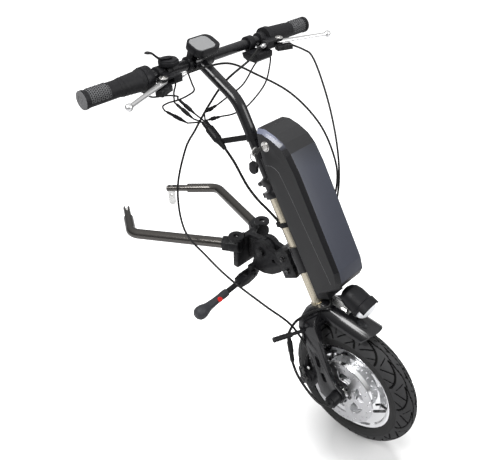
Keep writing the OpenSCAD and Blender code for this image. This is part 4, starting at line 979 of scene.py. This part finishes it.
    def build(self) -> None:
        """Sweeps the cables and dresses the plugs."""
        stands = {"right_lead_smooth": ("right_lead",), "left_lead_smooth": ("left_lead",),
                  "main_lead": ("harness_wires",)}
        for name, (radius, route) in self.routes().items():
            if name == "brake_cable_smooth":
                self._bend(radius, route)
            else:
                self.make.tube(name, route, radius,
                               Role("steer", "cable_sheath", "cable_sheath", stands.get(name, ())))
        for node in ("connectors", "splitter", "cable_straps"):
            self.make.paint(node, "moulded_black")

    def _bend(self, radius: float, route: Sequence[Vector]) -> None:
        """Makes the brake cable in three stretches, cut where it passes behind the column; all three stay
        where they are made.

        Args:
            radius: Its radius, in millimetres.
            route: Its route.
        """
        path = smooth_route(route)
        split = Place.column(self.split_d, 0, 0).dot(Place.ahead())
        far = [i for i, p in enumerate(path) if p.dot(Place.ahead()) < split]
        first, last = far[0], far[-1]
        for name, part, bodies, near, deep in (
                ("brake_cable_smooth", path[:first + 1], ("steer", "front"), self.fixed_d, self.give_top_d),
                ("brake_cable_slack", path[first:last + 1], ("front", "hitch"), self.split_d, self.slack_d),
                ("brake_cable_low", path[last:], ("steer", "front"), self.fixed_d, self.give_low_d)):
            start, end = Place.column(near, 0, 0), Place.column(deep, 0, 0)
            role = Role(bodies[0], "cable_sheath", "cable_sheath", ("brake_cable",))
            self.make.mesh(name, *sweep(part, radius), role, self.make.SMOOTH_SWEPT,
                           lambda obj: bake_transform(obj))


@dataclass
class Bodywork:
    """Nodes that keep their form: the edges of the machined and moulded ones are rounded."""

    make: Maker
    rounded: dict[str, tuple[str, str, float]] = field(default_factory=lambda: {
        "hitch_plate": ("hitch", "cast_black", 1.6), "arm_sockets": ("hitch", "cast_black", 1.0),
        "front_block": ("front", "cast_black", 1.4), "lock_lever": ("lock", "cast_black", 0.8),
        "fork": ("steer", "powder_black", 1.6), "column_collars": ("steer", "powder_black", 1.0),
        "bar_clamp": ("steer", "powder_black", 0.8), "perch_right": ("steer", "cast_black", 1.2),
        "perch_left": ("steer", "cast_black", 1.2), "throttle_housing": ("steer", "moulded_black", 4.5),
        "bell_body": ("steer", "moulded_black", 1.0), "display_case": ("steer", "moulded_black", 2.0),
        "switch_box": ("steer", "moulded_black", 1.6), "battery_rail": ("steer", "moulded_black", 1.6),
        "caliper_body": ("steer", "cast_black", 1.2), "caliper_arm": ("caliper_arm", "oxide_black", 0.8),
        "axle_nuts": ("steer", "moulded_black", 0.8), "pivot_bolt": ("hitch", "oxide_black", 0.8),
        "tab_right": ("tab_right", "zinc_steel", 0.5), "tab_left": ("tab_left", "zinc_steel", 0.5),
        "key_fob": ("fob", "moulded_black", 0.5), "mudguard": ("steer", "gloss_black", 0.6),
    })
    plain: dict[str, str] = field(default_factory=lambda: {
        "arm_right": "arm_gunmetal", "arm_left": "arm_gunmetal", "tip_right": "arm_gunmetal",
        "tip_left": "arm_gunmetal", "head_sleeve": "powder_black", "clamp_bolts": "oxide_black",
        "lock_grip": "moulded_grey", "lock_button": "red_gloss", "column_tube": "column_satin",
        "stem": "powder_black", "handlebar": "powder_black", "grip_right": "grip_rubber",
        "grip_left": "grip_rubber", "throttle_twist": "grip_rubber", "cable_adjusters": "lever_polish",
        "display_screen": "screen_grey", "horn_button": "red_gloss", "battery_key": "nickel",
        "lamp_bracket": "zinc_steel", "lamp_body": "moulded_black", "lamp_lens": "lens_clear",
        "side_peg": "grip_rubber", "axle": "zinc_steel",
    })

    def build(self) -> None:
        """Rounds and paints the nodes."""
        for node, (body, finish, width) in self.rounded.items():
            self.make.soften(node, body, finish, width)
        for node, finish in self.plain.items():
            self.make.paint(node, finish)


class Shell(IntEnum):
    """Which of the pack's finishes a face has."""

    SIDE = 0
    FRONT = 1
    BAND = 2
    TOP = 3


@dataclass
class Pack:
    """Battery pack: charcoal sides, a gloss band round them that turns pale near its top as a painted
    reflection, a blue-grey front that turns dark across a bowed line as painted sheen and shade, and a darker
    top.
    """

    make: Maker
    half: float = 44.0
    round: float = 3.2
    round_steps: int = 3
    round_limit: float = 9.0
    seam: float = 0.35
    side_from: float = 0.9
    band_from: float = 0.25
    front_from: float = 0.96
    back_from: float = -0.2
    under_from: float = -0.5
    line: Profile = ((56, 534), (70, 530), (80, 520), (85, 506), (91, 438), (97, 350), (103, 268))

    def _tone(self, normal: Vector) -> Shell:
        """Picks a face's finish from the way that it looks.

        Args:
            normal: The face's normal.

        Returns:
            The finish.
        """
        out, up, side = normal.dot(Place.ahead()), normal.dot(Place.along()), abs(normal.y)
        if side > self.side_from or out < self.back_from or up < self.under_from:
            return Shell.SIDE
        if side > self.band_from:
            return Shell.BAND
        return Shell.FRONT if out > self.front_from else Shell.TOP

    def build(self) -> None:
        """Rounds the shell, gives each face its tone and draws the seam on both sides."""
        shell = self.make.soften("battery_pack", "pack", "pack_shell", self.round, self.round_steps,
                                 self.round_limit)
        for name in ("pack_front", "pack_band", "pack_top"):
            shell.data.materials.append(self.make.palette[name])
        for face in shell.data.polygons:
            face.material_index = self._tone(face.normal)
        for name, y in (("right", -self.half), ("left", self.half)):
            route = [Place.column(d, y, s) for d, s in self.line]
            self.make.tube("pack_seam_" + name, route, self.seam, Role("pack", "pack_line", "pack_shell"), 8)


@dataclass
class Grips:
    """Ends of the handlebar: raised pads with dots, end caps and the ribs of the throttle."""

    make: Maker
    radius: float = 17.0
    low: float = -20.0
    high: float = 128.0
    margin: float = 10.0
    rise: float = 0.7
    sink: float = 0.3
    grid: tuple[int, int] = (25, 9)
    dots: tuple[int, int] = (9, 10)
    dot_sides: int = 8
    dot: Profile = ((1.7, -0.1), (1.2, 0.7))
    pad: tuple[float, float] = (256.0, 303.0)
    end: float = 312.0
    cap: Profile = ((18.0, -0.2), (18.0, 0.5), (16.6, 1.3), (9.4, 1.5), (9.0, 0.9), (3.4, 0.9), (3.0, 1.5),
                    (0.4, 1.5))
    twist_y: float = -178.6
    twist_r: float = 18.4
    flare: Triple = (2.4, 50.0, 40.0)
    rib: float = 0.22
    rib_pitch: float = 9.0
    rib_span: tuple[float, float] = (12.0, 48.0)
    rib_points: int = 73
    inner: tuple[float, float] = (17.2, 19.6)

    def _ring(self, r: float, deg: float, y: float) -> Vector:
        """A point round the bar; 0 degrees is ahead and 90 is up."""
        a = math.radians(deg)
        return Place.ctl(r * math.cos(a), y, r * math.sin(a))

    def _pad(self, name: str, y0: float, y1: float) -> None:
        """Makes a raised pad with staggered dots on it.

        Args:
            name: The piece's name.
            y0: Its right end along the bar.
            y1: Its left end.
        """
        verts, faces = [], []
        cols, rows = self.grid
        for i in range(cols):
            deg = self.low + (self.high - self.low) * i / (cols - 1)
            for k in range(rows):
                rim = i in (0, cols - 1) or k in (0, rows - 1)
                y = y0 + (y1 - y0) * k / (rows - 1)
                verts.append(self._ring(self.radius + (-self.sink if rim else self.rise), deg, y))
        for i in range(cols - 1):
            for k in range(rows - 1):
                faces.append((i * rows + k, (i + 1) * rows + k, (i + 1) * rows + k + 1, i * rows + k + 1))
        flat = len(faces)
        count, lines = self.dots
        wide = self.high - self.low - 2 * self.margin
        for i in range(count):
            for k in range(lines):
                deg = self.low + self.margin + wide * (i + 0.5 * (k % 2)) / count
                self._dot(verts, faces, deg, y0 + (y1 - y0) * (k + 1) / (lines + 1))
        pad = self.make.mesh(name, verts, faces, Role("steer", "pad_grey", "grip_rubber"))
        pad.data.materials.append(self.make.palette["grip_rubber"])
        pad.data.polygons.foreach_set("material_index", [0] * flat + [1] * (len(faces) - flat))

    def _dot(self, verts: list, faces: list, deg: float, y: float) -> None:
        """Adds a dot to a pad.

        Args:
            verts: The pad's points.
            faces: The pad's faces.
            deg: The dot's place round the bar.
            y: Its place along the bar.
        """
        base, sides = len(verts), self.dot_sides
        for r, up in self.dot:
            for c, s in ring(sides):
                turn = deg + math.degrees(r * c / self.radius)
                verts.append(self._ring(self.radius + self.rise + up, turn, y + r * s))
        for m in range(sides):
            n = (m + 1) % sides
            faces.append((base + m, base + n, base + sides + n, base + sides + m))
        faces.append(tuple(base + sides + m for m in range(sides)))

    def build(self) -> None:
        """Makes the pads, the caps and the ribs."""
        near, far = self.pad
        self._pad("pad_right", -far, -near)
        self._pad("pad_left", near, far)
        for name, hand in (("right", -1), ("left", 1)):
            self.make.lathe("cap_" + name, self.cap, Place.ctl(0, hand * self.end, 0), hand * LEFT,
                            Role("steer", "cap_grey", "grip_rubber"))
        low, high = self.rib_span
        wider, top, run = self.flare
        ribs = [(self.twist_r + wider * (top - h) / run
                 + self.rib * math.cos(2 * math.pi * (h - low) / self.rib_pitch), h)
                for h in np.linspace(low, high, self.rib_points)]
        self.make.lathe("twist_ribs", ribs + [(self.inner[0], high), (self.inner[1], low)],
                        Place.ctl(0, self.twist_y, 0), -LEFT, Role("twist", "grip_rubber", "grip_rubber"),
                        loop=True)


@dataclass
class Levers:
    """Brake levers with ball ends, the discs on their pivots, and the bell's thumb lever.

    A brake lever has its half width at places along it; the thumb lever has places along and up, with half
    widths and half heights.
    """

    make: Maker
    reach: float = 40.0
    length: float = 126.0
    out_deg: float = 22.0
    ball_r: float = 7.5
    half_t: float = 3.5
    heel: float = -6.0
    heel_share: float = 0.6
    pivots: tuple[tuple[str, float, float], ...] = (("right", -154.2, -1.0), ("left", 178.0, 1.0))
    widths: Profile = ((-8, 1.5), (-7, 4.2), (-4.5, 6.8), (0, 8), (10, 7.6), (22, 7.6), (40, 6.8), (55, 6.0),
                       (80, 5.4), (105, 4.8), (122, 4.4), (126, 4.0))
    disc: Profile = ((9.0, -0.1), (9.0, 1.2), (8.2, 1.8), (4.6, 1.8), (4.4, 2.8), (2.4, 2.8), (2.2, 1.6),
                     (0.3, 1.6))
    disc_z: float = 8.0
    bell: Triple = (8.0, -114.0, 30.5)
    bell_deg: float = -14.0
    thumb: tuple[tuple[float, float, float, float], ...] = (
        (-8, 0, 3.5, 1.6), (-4, 0, 6.2, 2.0), (4, 0, 6.4, 2.0), (14, 0.2, 5.0, 2.2), (21, 2.2, 4.4, 2.4),
        (27, 8, 4.4, 2.3), (33, 14, 5.6, 2.1), (39, 16.4, 7.6, 2.0), (44, 16.8, 7.0, 1.8),
        (48, 16.6, 3.0, 0.8))

    def build(self) -> None:
        """Makes both brake levers and the thumb lever."""
        a = math.radians(self.out_deg)
        for name, y, hand in self.pivots:
            way = Vector((math.sin(a), hand * math.cos(a), 0))
            pivot = Place.ctl(self.reach, y, 0)
            path = [pivot + at * MM * way for at, _ in self.widths]
            sizes = [(wide, self.half_t if at > self.heel else self.half_t * self.heel_share)
                     for at, wide in self.widths]
            self.make.blade("lever_" + name, path, sizes, UP.cross(way),
                            Role(name + "_lever", "lever_polish", "lever_alloy", ("brake_lever_" + name,)))
            self.make.ball("lever_ball_" + name, pivot + self.length * MM * way, self.ball_r,
                           Role(name + "_lever", "lever_polish", "lever_alloy"))
            self.make.lathe("pivot_disc_" + name, self.disc, Place.ctl(self.reach, y, self.disc_z), UP,
                            Role("steer", "nickel", "lever_alloy"), 36)
        a = math.radians(self.bell_deg)
        way, flat = Vector((math.sin(a), -math.cos(a), 0)), Vector((math.cos(a), math.sin(a), 0))
        path = [Place.ctl(*self.bell) + MM * (at * way + up * UP) for at, up, _, _ in self.thumb]
        self.make.blade("bell_thumb", path, [(wide, high) for _, _, wide, high in self.thumb], flat,
                        Role("bell", "moulded_black", "black_plastic", ("bell_lever",)))


@dataclass
class Fittings:
    """Small fittings: the screws of the perches and the caliper, and the bezel of the pack's lock."""

    make: Maker
    perch_x: float = -16.0
    perches: tuple[tuple[str, float], ...] = (("right", -134.2), ("left", 158.0))
    perch_screw: tuple[float, float] = (3.4, 3.0)
    caliper: tuple[tuple[str, Triple], ...] = (("top", (-44, -66.2, 70)), ("low", (-30, -56, 32)))
    caliper_screw: tuple[float, float] = (4.0, 3.0)
    lock: Triple = (76, -44, 570)
    bezel: Profile = ((8.6, -0.3), (10.6, -0.3), (10.6, 0.8), (9.6, 1.4), (8.6, 1.2))

    def build(self) -> None:
        """Makes the fittings."""
        for name, y in self.perches:
            self.make.screw("perch_screw_" + name, Place.ctl(self.perch_x, y, 0), -AHEAD, *self.perch_screw,
                            Role("steer", "oxide_black", "fastener_black"))
        for name, spot in self.caliper:
            self.make.screw("caliper_screw_" + name, Place.column(*spot), -LEFT, *self.caliper_screw,
                            Role("steer", "zinc_steel", "plain_steel"))
        self.make.lathe("lock_bezel", self.bezel, Place.column(*self.lock), -LEFT,
                        Role("pack", "nickel", "pack_shell"), loop=True)


@dataclass
class Studio:
    """Pale floor, soft light and a camera at the photograph's angle; places are measured from the axle."""

    scene: bpy.types.Scene
    azimuth: float = 44.2
    elevation: float = 36.0
    roll: float = -0.4
    eye: Triple = (439.8, -783.7, 1052.7)
    focal_px: float = 582.66
    width_px: float = 502.0
    sensor_mm: float = 36.0
    far: float = 50.0
    ambient: float = 0.5
    sky: tuple[float, float, float, float] = (-0.1, 0.9, 0.12, 0.95)
    aim: Triple = (-300, 0, 250)
    lamps: tuple[tuple[str, Triple, float, float], ...] = (
        ("key", (-500, -1500, 1900), 0.9, 40.0), ("fill", (1500, 500, 1500), 1.2, 24.0),
        ("back", (-250, 500, 2300), 0.6, 34.0))
    floor_half: float = 6.0
    floor_rough: float = 0.9
    floor_tone: tuple[float, ...] = (0.66, 0.66, 0.66, 1)
    floor_shine: tuple[float, ...] = (0.62, 0.62, 0.63, 1)
    # The glow is 0 near this point and full beyond it, so the grey floor tone shows round the wheel as a
    # painted shadow; the point's height is also the floor's.
    painted_shadow_centre: Triple = (65, -15, -156.5)
    painted_shadow_glow: tuple[float, float, float, float] = (0.08, 0.22, 0.0, 0.8)

    def build(self) -> None:
        """Makes the camera, the world, the lamps and the floor."""
        self.scene.view_settings.view_transform = "Standard"
        self._camera()
        self._world()
        self._lamps()
        self._floor()

    def _camera(self) -> None:
        """Sets the camera where the photograph was taken from."""
        a, e, roll = (math.radians(v) for v in (self.azimuth, self.elevation, self.roll))
        back = Vector((math.sin(a) * math.cos(e), -math.cos(a) * math.cos(e), math.sin(e)))
        right = Vector((math.cos(a), math.sin(a), 0))
        up = back.cross(right)
        across = math.cos(roll) * right + math.sin(roll) * up
        upright = -math.sin(roll) * right + math.cos(roll) * up
        data = bpy.data.cameras.new("camera")
        data.sensor_width = self.sensor_mm
        data.lens = self.focal_px * self.sensor_mm / self.width_px
        data.clip_end = self.far
        camera = bpy.data.objects.new("camera", data)
        self.scene.collection.objects.link(camera)
        turn = Matrix((across, upright, back)).transposed().to_4x4()
        camera.matrix_world = Matrix.Translation(Place.axle(*self.eye)) @ turn
        self.scene.camera = camera

    def _world(self) -> None:
        """White for the camera, softer as light, and darker towards the ground in reflections."""
        world = bpy.data.worlds.new("studio")
        self.scene.world = world
        world.use_nodes = True
        nodes = Nodes(world.node_tree)
        path = nodes.add("LightPath", {})
        seen = nodes.calc("MAXIMUM", path["Is Camera Ray"], path["Is Transmission Ray"])
        way = nodes.add("SeparateXYZ", {0: nodes.add("TexCoord", {})["Generated"]})
        light = nodes.span(path["Is Glossy Ray"], 0.0, 1.0, self.ambient, nodes.span(way["Z"], *self.sky))
        strength = nodes.span(seen, 0.0, 1.0, light)
        nodes.feed(nodes.tree.nodes["Background"], {"Color": WHITE, "Strength": strength})

    def _lamps(self) -> None:
        """Three large soft lamps; the one at the back isn't mirrored in the part."""
        for name, spot, size, watts in self.lamps:
            data = bpy.data.lights.new(name, "AREA")
            data.size = size
            data.energy = watts
            lamp = bpy.data.objects.new(name, data)
            self.scene.collection.objects.link(lamp)
            lamp.location = Place.axle(*spot)
            lamp.rotation_euler = (Place.axle(*self.aim) - lamp.location).to_track_quat("-Z", "Y").to_euler()
            lamp.visible_glossy = name != "back"

    def _floor(self) -> None:
        """A pale floor that glows white away from the wheel; near it the glow fades out round a set point
        under the tyre, so the grey floor tone there adds a painted shadow to the real one.
        """
        data = bpy.data.meshes.new("floor")
        low, half = Place.axle(*self.painted_shadow_centre).z, self.floor_half
        corners = [(x * half, y * half, low) for x, y in ((-1, -1), (1, -1), (1, 1), (-1, 1))]
        data.from_pydata(corners, [], [(0, 1, 2, 3)])
        floor = bpy.data.objects.new("floor", data)
        self.scene.collection.objects.link(floor)
        material = bpy.data.materials.new("floor_white")
        material.use_nodes = True
        nodes = Nodes(material.node_tree)
        path = nodes.add("LightPath", {})
        place = nodes.add("TexCoord", {})["Object"]
        away = nodes.add("VectorMath", {0: place, 1: Place.axle(*self.painted_shadow_centre)}, operation="DISTANCE")["Value"]
        # Camera rays only: no glow round the shadow point, a painted shadow on the grey floor, and white
        # beyond.
        painted_shadow_glow = nodes.calc("MULTIPLY", path["Is Camera Ray"], nodes.span(away, *self.painted_shadow_glow))
        tone = nodes.mix(path["Is Glossy Ray"], self.floor_tone, self.floor_shine)
        nodes.feed(nodes.tree.nodes["Principled BSDF"], {
            "Base Color": tone, "Roughness": self.floor_rough, "Specular IOR Level": 0.0,
            "Emission Color": WHITE, "Emission Strength": painted_shadow_glow})
        data.materials.append(material)


def main() -> None:
    """Builds the sub-assemblies in order and reports them."""
    logging.basicConfig(level=logging.INFO, format="%(name)s: %(message)s")
    make = Maker(Palette())
    Studio(bpy.context.scene).build()
    for kind in (Bodywork, Wheel, Cables, Pack, Grips, Levers, Fittings):
        kind(make).build()
    LOG.info("%d pieces", make.count)


if __name__ == "__main__":
    main()
